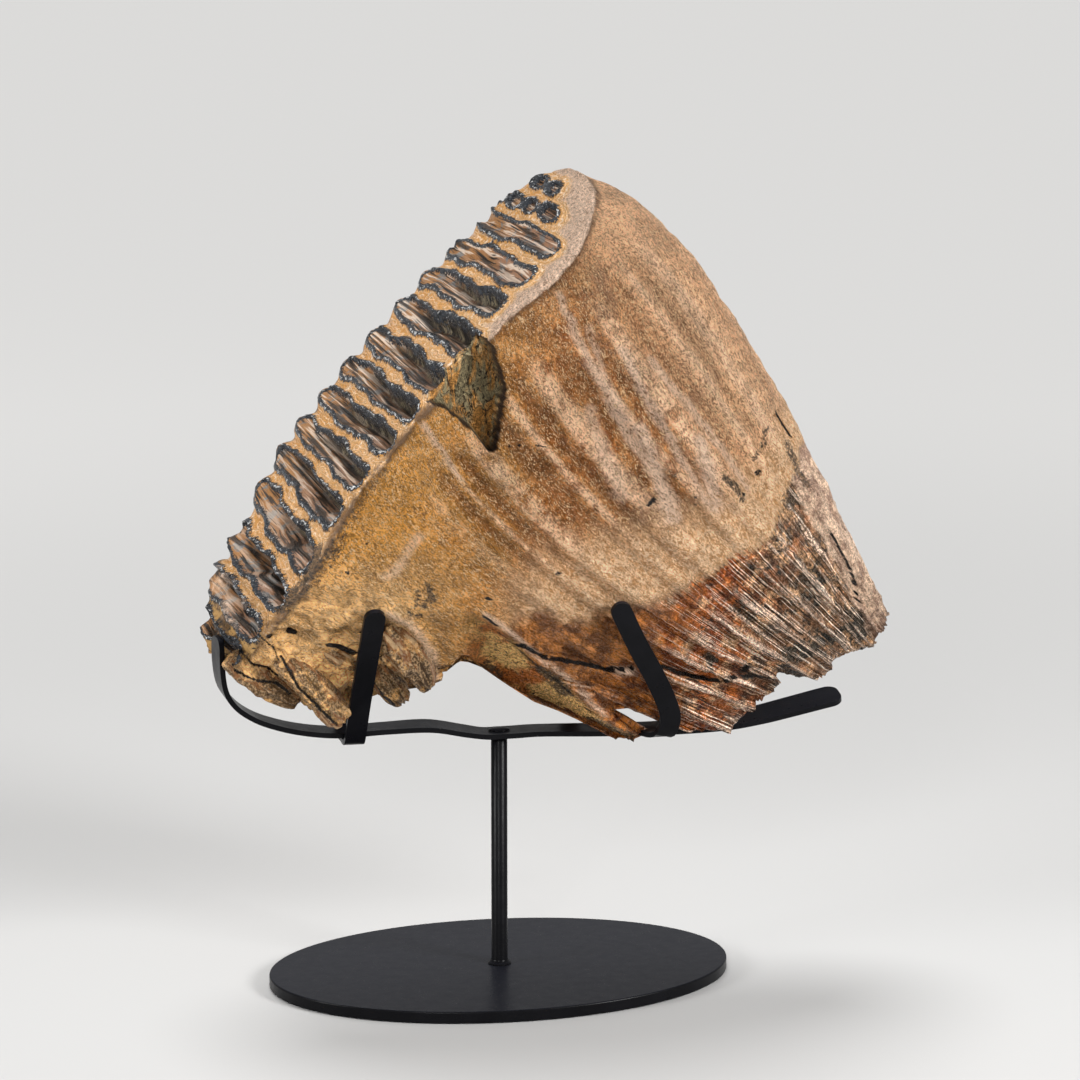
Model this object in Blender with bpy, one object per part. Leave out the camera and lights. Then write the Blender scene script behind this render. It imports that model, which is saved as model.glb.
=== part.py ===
"""Fossil mammoth molar on its display stand.

The stand is black steel: an oval base plate, a round post, a flat cradle bar with a
hook at its left end and a turned-up tongue at its right, and two V-shaped straps that
hold the tooth by its flanks.  The tooth is one solid.  Its chewing face looks up and
to the left and carries a row of enamel loops; its roots point down and to the right.

Metres, +Z up.  The origin is the middle of the base plate's underside, +X runs along
the tooth from its low end to its high end, and -Y is the side that shows.
"""

import math

import bmesh
import bpy
import numpy as np
from mathutils import Vector

MM = 0.001

# ---------------------------------------------------------------- stand sizes (mm)
PLATE_LENGTH = 182.0
PLATE_DEPTH = 118.0
PLATE_THICKNESS = 4.76
PLATE_SIDES = 72
PLATE_EDGE = 0.5

POST_DIAMETER = 6.35
POST_SIDES = 24
POST_FOOT_RADIUS = 4.6
POST_FOOT_HEIGHT = 1.6

BAR_WIDTH = 12.7
BAR_THICKNESS = 2.0
STRAP_WIDTH = 8.0
STRAP_THICKNESS = 2.0
RIVET_LENGTH = 8.6
RIVET_DEPTH = 6.4
RIVET_HEIGHT = 0.9

TOUCH_GAP = 0.3

# Cradle bar, middle line of the strip: along X, height, turn of the strip about its
# own length in degrees (positive lifts the far edge).
BAR_PATH = (
    (-109.3, 142.0, -6.0),
    (-109.2, 131.0, -6.0),
    (-108.0, 122.5, -4.0),
    (-105.0, 117.0, 0.0),
    (-100.0, 112.2, 0.0),
    (-92.0, 107.9, 0.0),
    (-79.0, 104.0, 0.0),
    (-64.0, 102.0, 0.0),
    (-46.0, 102.4, 0.0),
    (-28.0, 102.4, 2.0),
    (-14.0, 99.7, 2.0),
    (-6.0, 98.2, 0.0),
    (0.0, 98.1, 0.0),
    (6.0, 98.1, 0.0),
    (16.0, 98.2, 0.0),
    (39.0, 97.2, 2.0),
    (64.0, 96.4, 3.0),
    (88.0, 97.0, 6.0),
    (104.0, 99.4, 12.0),
    (118.0, 102.2, 14.0),
    (130.0, 105.0, 14.0),
    (139.0, 107.0, 14.0),
)
BAR_STEP = 5.0
BAR_TIP_RADIUS = 4.6
BAR_AT_POST = 98.1
STRAP_STEP = 4.0

# Strap legs, middle line: X, Y, Z from the bar out to the tip on the near side.
LEFT_LEG = (
    (-58.6, 0.0, 99.5),
    (-58.6, -6.4, 99.5),
    (-58.4, -9.6, 102.0),
    (-57.9, -20.5, 120.0),
    (-57.2, -34.5, 141.0),
    (-56.4, -46.0, 159.5),
)
RIGHT_LEG = (
    (48.0, 0.0, 99.3),
    (53.6, -12.0, 99.5),
    (58.6, -22.6, 99.9),
    (59.4, -25.6, 102.6),
    (57.2, -29.2, 109.0),
    (51.0, -35.6, 122.0),
    (43.5, -41.8, 138.0),
    (35.8, -46.6, 158.0),
)

# ---------------------------------------------------------------- tooth sizes (mm)
FACE_LENGTH = 238.9
FACE_TILT = 0.16
FACE_HALF_WIDTH = 43.0
FLAT_HALF_WIDTH = 3.0
LOW_END_LENGTH = 75.0
HIGH_END_LENGTH_NEAR = 50.0
HIGH_END_LENGTH_FAR = 70.0
PLATE_COUNT = 16

# Middle line of the chewing face (X, Z) from its low end to its high end.
FACE_LINE = (
    (-112.4, 128.5),
    (-112.0, 135.5),
    (-110.5, 142.0),
    (-105.5, 152.2),
    (-99.8, 162.6),
    (-93.5, 168.4),
    (-85.3, 180.2),
    (-79.0, 192.0),
    (-67.8, 209.8),
    (-56.8, 221.8),
    (-47.8, 233.8),
    (-36.8, 245.8),
    (-24.8, 258.8),
    (-13.0, 271.0),
    (-0.3, 283.2),
    (11.7, 298.0),
    (18.5, 306.0),
    (30.0, 316.0),
)

# Place of each enamel plate along the chewing face, at its far and near edges.
PLATE_FAR = (0, 14, 30, 47.5, 68, 84.5, 98, 112, 127.5, 142, 158, 173, 189, 204, 216.5, 226.5, 238.9)
PLATE_NEAR = (0, 12, 27, 43.5, 60, 81.5, 97, 115, 128, 142.5, 162, 180, 195, 210.5, 221.5, 230, 238.9)

# Down the flank: share of the face length, bend of the plate (X, Z from the face),
# and the place (X, Z) where the roots end.
BEND = (
    (0.00, 10.0, -13.0),
    (0.08, 24.0, -22.0),
    (0.11, 38.0, -24.0),
    (0.13, 57.0, -24.0),
    (0.15, 73.0, -29.0),
    (0.17, 98.0, -42.0),
    (0.25, 75.0, -40.0),
    (0.35, 56.0, -52.0),
    (0.50, 43.0, -69.0),
    (0.75, 40.0, -74.0),
    (0.90, 44.0, -68.0),
    (1.00, 70.0, -55.0),
)
SHOULDER = np.array((42.0, 56.0))
SHOULDER_FROM = 0.84
ROOT_LINE = (
    (0.000, -86.0, 118.0),
    (0.030, -80.0, 112.0),
    (0.065, -64.0, 105.5),
    (0.110, -32.0, 100.0),
    (0.140, 0.0, 98.0),
    (0.170, 40.0, 96.5),
    (0.250, 50.5, 95.5),
    (0.300, 66.0, 98.0),
    (0.400, 88.0, 97.0),
    (0.480, 100.0, 107.0),
    (0.600, 114.0, 116.5),
    (0.700, 128.0, 116.5),
    (0.800, 139.0, 125.0),
    (0.900, 147.0, 131.5),
    (1.000, 156.0, 139.0),
)

# How far each root reaches down its line: plate number, reach on the near side, in
# the middle and on the far side.
ROOT_REACH = (
    (0.00, 1.00, 1.00, 1.00),
    (0.80, 0.98, 1.00, 0.96),
    (1.03, 0.86, 0.86, 0.88),
    (1.15, 0.99, 0.99, 0.97),
    (1.44, 0.97, 0.97, 0.95),
    (1.67, 0.72, 0.72, 0.74),
    (1.79, 0.80, 0.80, 0.77),
    (2.07, 0.80, 0.80, 0.76),
    (2.21, 0.50, 0.50, 0.54),
    (2.35, 0.64, 0.64, 0.62),
    (2.53, 0.60, 0.60, 0.58),
    (2.66, 0.44, 0.44, 0.48),
    (2.72, 0.50, 0.48, 0.50),
    (2.88, 0.97, 0.60, 0.62),
    (3.04, 1.00, 0.72, 0.72),
    (3.84, 1.00, 0.84, 0.86),
    (4.12, 0.93, 0.86, 0.90),
    (4.54, 0.95, 0.88, 0.92),
    (4.87, 0.99, 0.89, 0.95),
    (5.90, 1.00, 0.90, 0.98),
    (6.85, 0.99, 0.90, 0.96),
    (8.40, 0.98, 0.91, 0.99),
    (9.16, 0.95, 0.91, 0.96),
    (9.78, 1.00, 0.92, 0.98),
    (10.7, 0.99, 0.92, 0.95),
    (10.95, 0.95, 0.93, 0.97),
    (12.7, 0.99, 0.95, 0.98),
    (16.0, 1.00, 1.00, 1.00),
)

# Half width of the tooth by height: at the low end, and above the root line elsewhere.
LOW_END_HEIGHT = (104.0, 111.0, 123.0, 134.0, 146.0, 157.0, 175.0)
LOW_END_WIDTH = (7.0, 11.5, 19.5, 27.5, 35.0, 41.5, 43.0)
REST_HEIGHT = (0.0, 7.0, 21.0, 39.0, 58.0, 80.0)
REST_WIDTH = (18.0, 22.5, 30.5, 37.0, 41.5, 43.0)
BASE_X = (0.0, 60.0, 90.0, 150.0)
BASE_Z = (98.0, 97.0, 98.0, 128.0)
LOW_END_X = (-42.0, 12.0)

# Enamel loops: spacing, ridge line beside the plate's middle, ridge height, and the
# trough inside the loop, which deepens towards the near edge and is shallow in the
# last plates.
PLATE_PITCH = 15.0
LOOP_HALF_WIDTH = 4.2
RIDGE_HALF_WIDTH = 1.6
RIDGE_HEIGHT = 1.7
STRIP_DEPTH = 0.4
FAR_TROUGH = 0.8
NEAR_TROUGH = 7.3
SHALLOW_TROUGH = 1.6
SHALLOW_FROM_PLATE = 12
TROUGH_EDGES = (1.6, 3.8)
TROUGH_DEEPENS = (36.0, -10.0)
LOOP_NEAR_END = (-20, -30, -34, -36, -36, -38, -39, -43, -42, -36, -35, -33, -31, -26, -18, -8)
LOOP_FAR_END = 40.0
WORN_LOOPS_FROM_PLATE = 14
WORN_LOOP_FAR_END = 22.0
FACE_EDGE_ROUND = 1.0

# Flank: swellings over the plates on the crown and on the roots, and the grooves
# between the roots of the low end, by plate number.
FLUTE_HEIGHT = 1.7
ROOT_FLUTE_HEIGHT = 1.1
ROOT_GAPS = (1.03, 1.67, 2.21, 2.69)
ROOT_GAP_WIDTH = 0.16
ROOT_GAP_DEPTH = 4.5

# How far the near edge of the face turns down at its high end and at its low end.
HIGH_END_DROP = 7.0
LOW_END_DROP = 8.0

# Wedge broken out of the near edge of the chewing face: outline (X, Z) and floor.
CHIP_OUTLINE = (
    (-50.0, 246.5),
    (-37.5, 236.5),
    (-29.0, 234.0),
    (-20.0, 226.0),
    (-11.0, 216.0),
    (-8.0, 221.0),
    (-6.5, 236.0),
    (-7.0, 248.0),
    (-10.0, 256.5),
    (-23.0, 267.0),
)
CHIP_FLOOR_Y = -36.0
CHIP_CUTTER_DEPTH = 20.0

# Valley in the low end of the tooth where the hook passes.
VALLEY_Y = -1.0
VALLEY_FLOOR = 7.8
VALLEY_MOUTH = 14.0
VALLEY_DEPTH = 10.0
VALLEY_LENGTH = 0.06

# Grid of the tooth: its lines fall on the root ends at the low end and four to a
# plate beyond it; then rows down the flank and rows across.
LOW_PLATES = 5
LINES_PER_PLATE = 4
SPUR_EDGE = (2.72, 2.88)
SPUR_EDGE_LINES = 6
ROWS_DOWN = 12
ROWS_ACROSS = 10


def clear_scene():
    for thing in list(bpy.data.objects):
        bpy.data.objects.remove(thing, do_unlink=True)


def make_material(name, colour, roughness, metallic):
    material = bpy.data.materials.new(name)
    material.use_nodes = True
    shader = material.node_tree.nodes["Principled BSDF"]
    shader.inputs["Base Color"].default_value = (*colour, 1.0)
    shader.inputs["Roughness"].default_value = roughness
    shader.inputs["Metallic"].default_value = metallic
    return material


def add_object(name, bm, material, smooth_angle=None):
    mesh = bpy.data.meshes.new(name)
    bmesh.ops.recalc_face_normals(bm, faces=bm.faces)
    if bm.calc_volume(signed=True) < 0.0:
        bmesh.ops.reverse_faces(bm, faces=bm.faces)
    bm.to_mesh(mesh)
    bm.free()
    if smooth_angle is not None:
        mesh.shade_smooth()
        mesh.set_sharp_from_angle(angle=math.radians(smooth_angle))
    mesh.materials.append(material)
    thing = bpy.data.objects.new(name, mesh)
    bpy.context.scene.collection.objects.link(thing)
    return thing


def add_bevel(thing, width_mm, segments=1):
    bevel = thing.modifiers.new("edge", "BEVEL")
    bevel.width = width_mm * MM
    bevel.segments = segments
    bevel.limit_method = "ANGLE"
    bevel.angle_limit = math.radians(50.0)


def smoothstep(low, high, value):
    ramp = np.clip((value - low) / (high - low), 0.0, 1.0)
    return ramp * ramp * (3.0 - 2.0 * ramp)


def smooth_path(points):
    """Fine points on a Catmull-Rom curve through the given ones, and their distances."""
    knots = np.asarray(points, dtype=float)
    padded = np.vstack([2 * knots[0] - knots[1], knots, 2 * knots[-1] - knots[-2]])
    fine = []
    for index in range(len(knots) - 1):
        p0, p1, p2, p3 = padded[index:index + 4]
        for u in np.linspace(0.0, 1.0, 24, endpoint=False):
            curve = 2 * p1 + (p2 - p0) * u
            curve = curve + (2 * p0 - 5 * p1 + 4 * p2 - p3) * u ** 2
            curve = curve + (3 * p1 - p0 - 3 * p2 + p3) * u ** 3
            fine.append(0.5 * curve)
    fine.append(knots[-1])
    fine = np.array(fine)
    steps = np.linalg.norm(np.diff(fine[:, :3], axis=0), axis=1)
    return fine, np.concatenate([[0.0], np.cumsum(steps)])


def strip_stations(length, step, tip_radius):
    """Distances of a strip's sections: close together where its ends are rounded."""
    turns = np.radians((0.0, 24.0, 45.0, 66.0, 90.0))
    tip = tip_radius * (1.0 - np.cos(turns))
    count = int(round((length - 2 * tip_radius) / step))
    body = np.linspace(tip_radius, length - tip_radius, count + 1)[1:-1]
    return np.concatenate([tip, body, length - tip[::-1]])


def strip_width(along, length, width, tip_radius):
    """Width of a strip whose corners are rounded at both ends."""
    from_end = np.minimum(along, length - along)
    short = np.clip(tip_radius - from_end, 0.0, tip_radius)
    return width - 2.0 * (tip_radius - np.sqrt(tip_radius ** 2 - short ** 2))


def grid_cube(across_x, across_y, across_z):
    """A unit cube cut into a grid of faces on every side."""
    bm = bmesh.new()
    bmesh.ops.create_cube(bm, size=1.0)
    for axis, count in ((0, across_x), (1, across_y), (2, across_z)):
        if count < 2:
            continue
        lines = []
        for edge in bm.edges:
            step = edge.verts[1].co - edge.verts[0].co
            if abs(step[axis]) > 0.5:
                lines.append(edge)
        bmesh.ops.subdivide_edges(bm, edges=lines, cuts=count - 1, use_grid_fill=True)
    return bm


def read_points(bm):
    return np.array([vert.co[:] for vert in bm.verts])


def write_points(bm, points_mm):
    for vert, point in zip(bm.verts, points_mm):
        vert.co = Vector(point) * MM


def bend_strip(path, step, width, thickness, width_way, tip_radius):
    """A flat strip along a path in mm; a fourth column holds its turn in degrees."""
    fine, travelled = smooth_path(path)
    length = travelled[-1]
    along = strip_stations(length, step, tip_radius)
    columns = [np.interp(along, travelled, fine[:, axis]) for axis in range(fine.shape[1])]
    line = np.stack(columns, axis=1)
    centre = line[:, :3]
    turn = np.radians(line[:, 3])[:, None]
    tangent = np.gradient(centre, along, axis=0)
    tangent /= np.linalg.norm(tangent, axis=1)[:, None]
    side = np.array(width_way) - tangent * (tangent @ np.array(width_way))[:, None]
    side /= np.linalg.norm(side, axis=1)[:, None]
    normal = np.cross(tangent, side)
    turned_side = side * np.cos(turn) + normal * np.sin(turn)
    turned_normal = normal * np.cos(turn) - side * np.sin(turn)
    widths = np.maximum(strip_width(along, length, width, tip_radius), 0.12 * width)
    bm = grid_cube(len(along) - 1, 1, 1)
    cube = read_points(bm)
    station = np.rint((cube[:, 0] + 0.5) * (len(along) - 1)).astype(int)
    points = centre[station]
    points = points + turned_side[station] * (cube[:, 1] * widths[station])[:, None]
    points = points + turned_normal[station] * (cube[:, 2] * thickness)[:, None]
    write_points(bm, points)
    return bm


# ---------------------------------------------------------------- the tooth's form
FACE_POINTS = np.array(FACE_LINE)
FACE_STEPS = np.linalg.norm(np.diff(FACE_POINTS, axis=0), axis=1)
FACE_MARKS = np.concatenate([[0.0], np.cumsum(FACE_STEPS)])
FACE_OUT = np.array((-0.783, 0.622))
PLATE_MIDDLE = (np.array(PLATE_NEAR, dtype=float) + np.array(PLATE_FAR)) / 2


def face_place(distance):
    """Middle line of the chewing face, rounded off where its points meet."""
    total = 0.0
    for offset, weight in ((-6.0, 0.25), (0.0, 0.5), (6.0, 0.25)):
        at = np.clip(distance + offset * end_fade(distance), 0.0, FACE_LENGTH)
        x = np.interp(at, FACE_MARKS, FACE_POINTS[:, 0])
        z = np.interp(at, FACE_MARKS, FACE_POINTS[:, 1])
        total = total + weight * np.stack([x, z], axis=-1)
    return total


def end_fade(distance):
    return np.clip(np.minimum(distance, FACE_LENGTH - distance) / 8.0, 0.0, 1.0)


def table_value(table, at, column):
    rows = np.array(table)
    return np.interp(at, rows[:, 0], rows[:, column])


def root_place(share):
    return np.stack([table_value(ROOT_LINE, share, 1), table_value(ROOT_LINE, share, 2)], axis=-1)


def flank_line(distance, down):
    """Point (X, Z) on the plate that leaves the face at a distance, a share down it."""
    share = distance / FACE_LENGTH
    start = face_place(distance)
    bend = start + np.stack([table_value(BEND, share, 1), table_value(BEND, share, 2)], axis=-1)
    end = root_place(share)
    u = down[..., None]
    swell = SHOULDER * smoothstep(SHOULDER_FROM, 1.0, share)[..., None] * u * (1 - u) ** 3
    return start * (1 - u) ** 2 + 2 * bend * u * (1 - u) + end * u ** 2 + swell


def line_length(distance):
    return np.linalg.norm(root_place(distance / FACE_LENGTH) - face_place(distance), axis=-1)


def plate_distance(number, y):
    """Distance along the face of a plate number, at a place across the face."""
    places = np.arange(PLATE_COUNT + 1)
    near = np.interp(number, places, PLATE_NEAR)
    far = np.interp(number, places, PLATE_FAR)
    across = np.clip((y + FACE_HALF_WIDTH) / (2 * FACE_HALF_WIDTH), 0.0, 1.0)
    return near + (far - near) * across


def round_the_ends(distance, y):
    """Turn the square corners of the face into quarter ellipses."""
    side = FACE_HALF_WIDTH - FLAT_HALF_WIDTH
    high_length = np.where(y < 0.0, HIGH_END_LENGTH_NEAR, HIGH_END_LENGTH_FAR)
    kept_distance = np.clip(distance, LOW_END_LENGTH, FACE_LENGTH - high_length)
    kept_y = np.clip(y, -FLAT_HALF_WIDTH, FLAT_HALF_WIDTH)
    end_length = np.where(distance < kept_distance, LOW_END_LENGTH, high_length)
    off_distance = (distance - kept_distance) / end_length
    off_y = (y - kept_y) / side
    longest = np.maximum(np.abs(off_distance), np.abs(off_y))
    size = np.maximum(np.hypot(off_distance, off_y), 1e-9)
    scale = np.where(longest > 1e-9, longest / size, 1.0)
    return kept_distance + off_distance * scale * end_length, kept_y + off_y * scale * side


def half_width(x, z):
    """Half width of the tooth at a place in its long section."""
    low_end = np.interp(z, LOW_END_HEIGHT, LOW_END_WIDTH)
    base = np.interp(x, BASE_X, BASE_Z)
    rest = np.interp(z - base, REST_HEIGHT, REST_WIDTH)
    mix = smoothstep(LOW_END_X[0], LOW_END_X[1], x)
    return low_end + (rest - low_end) * mix


def root_reach(number, across):
    near = table_value(ROOT_REACH, number, 1)
    middle = table_value(ROOT_REACH, number, 2)
    far = table_value(ROOT_REACH, number, 3)
    to_near = smoothstep(0.45, 0.8, -across)
    to_far = smoothstep(0.45, 0.8, across)
    return middle + (near - middle) * to_near + (far - middle) * to_far


def face_relief(number, y):
    """Depth below the face (mm): raised enamel ridges and sunken troughs."""
    depth = np.full(number.shape, STRIP_DEPTH)
    trough = FAR_TROUGH + (NEAR_TROUGH - FAR_TROUGH) * smoothstep(*TROUGH_DEEPENS, y)
    for plate in range(1, PLATE_COUNT):
        near_end = LOOP_NEAR_END[plate - 1] + LOOP_HALF_WIDTH
        worn = plate >= WORN_LOOPS_FROM_PLATE
        far_end = WORN_LOOP_FAR_END if worn else LOOP_FAR_END - LOOP_HALF_WIDTH
        beside = (number - plate) * PLATE_PITCH
        beyond = np.maximum(near_end - y, 0.0) + np.maximum(y - far_end, 0.0)
        from_line = np.hypot(beside, beyond)
        ridge = np.exp(-((from_line - LOOP_HALF_WIDTH) / RIDGE_HALF_WIDTH) ** 2)
        inside = 1.0 - smoothstep(*TROUGH_EDGES, from_line)
        deep = SHALLOW_TROUGH if plate >= SHALLOW_FROM_PLATE else trough
        depth = depth - RIDGE_HEIGHT * ridge + deep * inside
    return depth


def flank_relief(number, down, share):
    """Swelling of the flank (mm) over each plate, and steps between the roots."""
    flute_zone = smoothstep(0.06, 0.2, down) * (1.0 - smoothstep(0.62, 0.78, down))
    flute_zone = flute_zone * smoothstep(0.35, 0.6, share)
    swelling = FLUTE_HEIGHT * np.cos(2 * np.pi * number) * flute_zone
    root_zone = smoothstep(0.7, 0.85, down) * smoothstep(0.16, 0.3, share)
    swelling = swelling + ROOT_FLUTE_HEIGHT * np.cos(2 * np.pi * number + 0.8) * root_zone
    for gap in ROOT_GAPS:
        groove = np.exp(-((number - gap) / ROOT_GAP_WIDTH) ** 2)
        swelling = swelling - ROOT_GAP_DEPTH * groove * smoothstep(0.32, 0.55, down)
    return swelling


def grid_lines():
    """Plate numbers of the grid's lines, on the root ends at the low end."""
    root_ends = np.array(ROOT_REACH)[:, 0]
    low = root_ends[root_ends < LOW_PLATES]
    halves = np.arange(0.0, LOW_PLATES, 0.5)
    spur_edge = np.linspace(SPUR_EDGE[0], SPUR_EDGE[1], SPUR_EDGE_LINES)
    high = np.linspace(LOW_PLATES, PLATE_COUNT, (PLATE_COUNT - LOW_PLATES) * LINES_PER_PLATE + 1)
    lines = np.sort(np.concatenate([low, halves, spur_edge, high]))
    return lines[np.concatenate([[True], np.diff(lines) > 0.015])]


def tooth_points(cube):
    """Carry the points of a unit cube onto the tooth (mm)."""
    lines = grid_lines()
    number = lines[np.rint((cube[:, 0] + 0.5) * (len(lines) - 1)).astype(int)]
    down = 0.5 - cube[:, 2]
    across = cube[:, 1] * 2.0
    distance = np.interp(number, np.arange(PLATE_COUNT + 1), PLATE_MIDDLE)
    distance, y = round_the_ends(distance, across * FACE_HALF_WIDTH)
    number = np.interp(distance, PLATE_MIDDLE, np.arange(PLATE_COUNT + 1))
    distance = plate_distance(number, y)
    share = distance / FACE_LENGTH
    across = y / FACE_HALF_WIDTH
    on_face = down < 1e-6
    edge_round = FACE_EDGE_ROUND * smoothstep(0.9, 1.0, np.abs(across))
    depth = np.where(on_face, face_relief(number, y) + edge_round, 0.0)
    reach = root_reach(number, across)
    lowered = down * reach + depth / line_length(distance)
    place = flank_line(distance, lowered)
    tilt = FACE_TILT * y - end_drop(share, across)
    place = place + FACE_OUT * (tilt * np.clip(1.0 - lowered, 0.0, 1.0) ** 2)[:, None]
    half = half_width(place[:, 0], place[:, 1])
    relief = flank_relief(number, lowered, share)
    half = half + relief * smoothstep(0.55, 0.95, np.abs(across)) * (down > 1e-6)
    width_y = across * half
    valley = 1.0 - smoothstep(VALLEY_FLOOR, VALLEY_MOUTH, np.abs(width_y - VALLEY_Y))
    valley = VALLEY_DEPTH * valley * (1.0 - smoothstep(0.3 * VALLEY_LENGTH, VALLEY_LENGTH, share))
    return np.stack([place[:, 0] + valley, width_y, place[:, 1]], axis=1)


def end_drop(share, across):
    """The near edge of the face turns down towards both ends."""
    high_end = HIGH_END_DROP * smoothstep(0.75, 0.92, share)
    low_end = LOW_END_DROP * (1.0 - smoothstep(0.04, 0.22, share))
    return (high_end + low_end) * np.where(across < 0.0, np.abs(across) ** 1.5, 0.0)


def build_tooth(material):
    bm = grid_cube(len(grid_lines()) - 1, ROWS_ACROSS, ROWS_DOWN)
    write_points(bm, tooth_points(read_points(bm)))
    bmesh.ops.triangulate(bm, faces=bm.faces)
    tooth = add_object("tooth", bm, material, smooth_angle=50.0)
    cut = tooth.modifiers.new("chip", "BOOLEAN")
    cut.operation = "DIFFERENCE"
    cut.solver = "EXACT"
    cut.object = build_chip_cutter(material)
    return tooth


def build_chip_cutter(material):
    """The wedge broken out of the near edge of the chewing face."""
    bm = bmesh.new()
    corners = [bm.verts.new((x * MM, CHIP_FLOOR_Y * MM, z * MM)) for x, z in CHIP_OUTLINE]
    wall = bm.faces.new(corners)
    grown = bmesh.ops.extrude_face_region(bm, geom=[wall])
    front = [part for part in grown["geom"] if isinstance(part, bmesh.types.BMVert)]
    bmesh.ops.translate(bm, vec=(0.0, -CHIP_CUTTER_DEPTH * MM, 0.0), verts=front)
    cutter = add_object("chip_cutter", bm, material)
    cutter.hide_render = True
    cutter.display_type = "WIRE"
    return cutter


# ---------------------------------------------------------------- the stand
def build_base_plate(material):
    bm = bmesh.new()
    disc = bmesh.ops.create_circle(bm, cap_ends=True, segments=PLATE_SIDES, radius=0.5)
    bmesh.ops.scale(bm, vec=(PLATE_LENGTH * MM, PLATE_DEPTH * MM, 1.0), verts=disc["verts"])
    raised = bmesh.ops.extrude_face_region(bm, geom=list(bm.faces))
    top = [part for part in raised["geom"] if isinstance(part, bmesh.types.BMVert)]
    bmesh.ops.translate(bm, vec=(0.0, 0.0, PLATE_THICKNESS * MM), verts=top)
    plate = add_object("base_plate", bm, material, smooth_angle=40.0)
    add_bevel(plate, PLATE_EDGE)
    return plate


def build_post(material, foot_z, top_z):
    radius = POST_DIAMETER / 2
    outline = (
        (0.0, foot_z),
        (POST_FOOT_RADIUS, foot_z),
        (POST_FOOT_RADIUS - 0.4, foot_z + 0.45 * POST_FOOT_HEIGHT),
        (radius, foot_z + POST_FOOT_HEIGHT),
        (radius, top_z),
        (0.0, top_z),
    )
    bm = bmesh.new()
    corners = [bm.verts.new((r * MM, 0.0, z * MM)) for r, z in outline]
    for first, second in zip(corners, corners[1:]):
        bm.edges.new((first, second))
    turned = list(bm.verts) + list(bm.edges)
    bmesh.ops.spin(bm, geom=turned, axis=(0, 0, 1), cent=(0, 0, 0), angle=2 * math.pi,
                   steps=POST_SIDES, use_merge=True)
    bmesh.ops.remove_doubles(bm, verts=bm.verts, dist=0.00002)
    return add_object("post", bm, material, smooth_angle=40.0)


def build_cradle_bar(material):
    path = [(x, 0.0, z, turn) for x, z, turn in BAR_PATH]
    bm = bend_strip(path, BAR_STEP, BAR_WIDTH, BAR_THICKNESS, (0.0, 1.0, 0.0), BAR_TIP_RADIUS)
    return add_object("cradle_bar", bm, material, smooth_angle=40.0)


def build_strap(name, near_leg, far_leg, material):
    path = [(*point, 0.0) for point in [*reversed(far_leg[1:]), *near_leg]]
    tip_radius = STRAP_WIDTH / 2
    bm = bend_strip(path, STRAP_STEP, STRAP_WIDTH, STRAP_THICKNESS, (1.0, 0.0, 0.0), tip_radius)
    return add_object(name, bm, material, smooth_angle=40.0)


def far_side(leg, lean):
    """The leg behind the tooth: the same bends on the other side of the bar."""
    return [(2 * leg[0][0] - x if lean else x, -y, z) for x, y, z in leg]


def build_rivet(material, seat_z):
    bm = bmesh.new()
    bmesh.ops.create_uvsphere(bm, u_segments=16, v_segments=8, radius=1.0)
    size = (RIVET_LENGTH / 2 * MM, RIVET_DEPTH / 2 * MM, RIVET_HEIGHT * MM)
    lower = [vert for vert in bm.verts if vert.co.z < -0.01]
    bmesh.ops.delete(bm, geom=lower, context="VERTS")
    rim = [edge for edge in bm.edges if edge.is_boundary]
    bmesh.ops.contextual_create(bm, geom=rim)
    bmesh.ops.scale(bm, vec=size, verts=bm.verts)
    bmesh.ops.translate(bm, vec=(0.0, 0.0, seat_z * MM), verts=bm.verts)
    return add_object("post_rivet", bm, material, smooth_angle=60.0)


def main():
    clear_scene()
    black_paint = make_material("black_paint", (0.012, 0.012, 0.014), 0.42, 0.0)
    tooth_stone = make_material("fossil_tooth", (0.42, 0.25, 0.12), 0.6, 0.0)
    build_base_plate(black_paint)
    post_top = BAR_AT_POST - BAR_THICKNESS / 2 - TOUCH_GAP
    build_post(black_paint, PLATE_THICKNESS + TOUCH_GAP, post_top)
    build_cradle_bar(black_paint)
    build_rivet(black_paint, BAR_AT_POST + BAR_THICKNESS / 2 + TOUCH_GAP)
    build_strap("left_cradle_strap", LEFT_LEG, far_side(LEFT_LEG, False), black_paint)
    build_strap("right_cradle_strap", RIGHT_LEG, far_side(RIGHT_LEG, True), black_paint)
    build_tooth(tooth_stone)


if __name__ == "__main__":
    main()
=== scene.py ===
"""Fossil mammoth molar in its cradle stand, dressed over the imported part.

The tooth is one solid of stone: its outer surface is carried from a gridded cube onto
the long section of the molar, and every vertex keeps the fields that the finish reads,
such as its distance from the nearest enamel ridge.  The stand is bent steel strip, rod
and plate in satin black paint.  Sizes in the tables are millimetres.
"""
import math
from functools import partialmethod
from itertools import product

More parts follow.
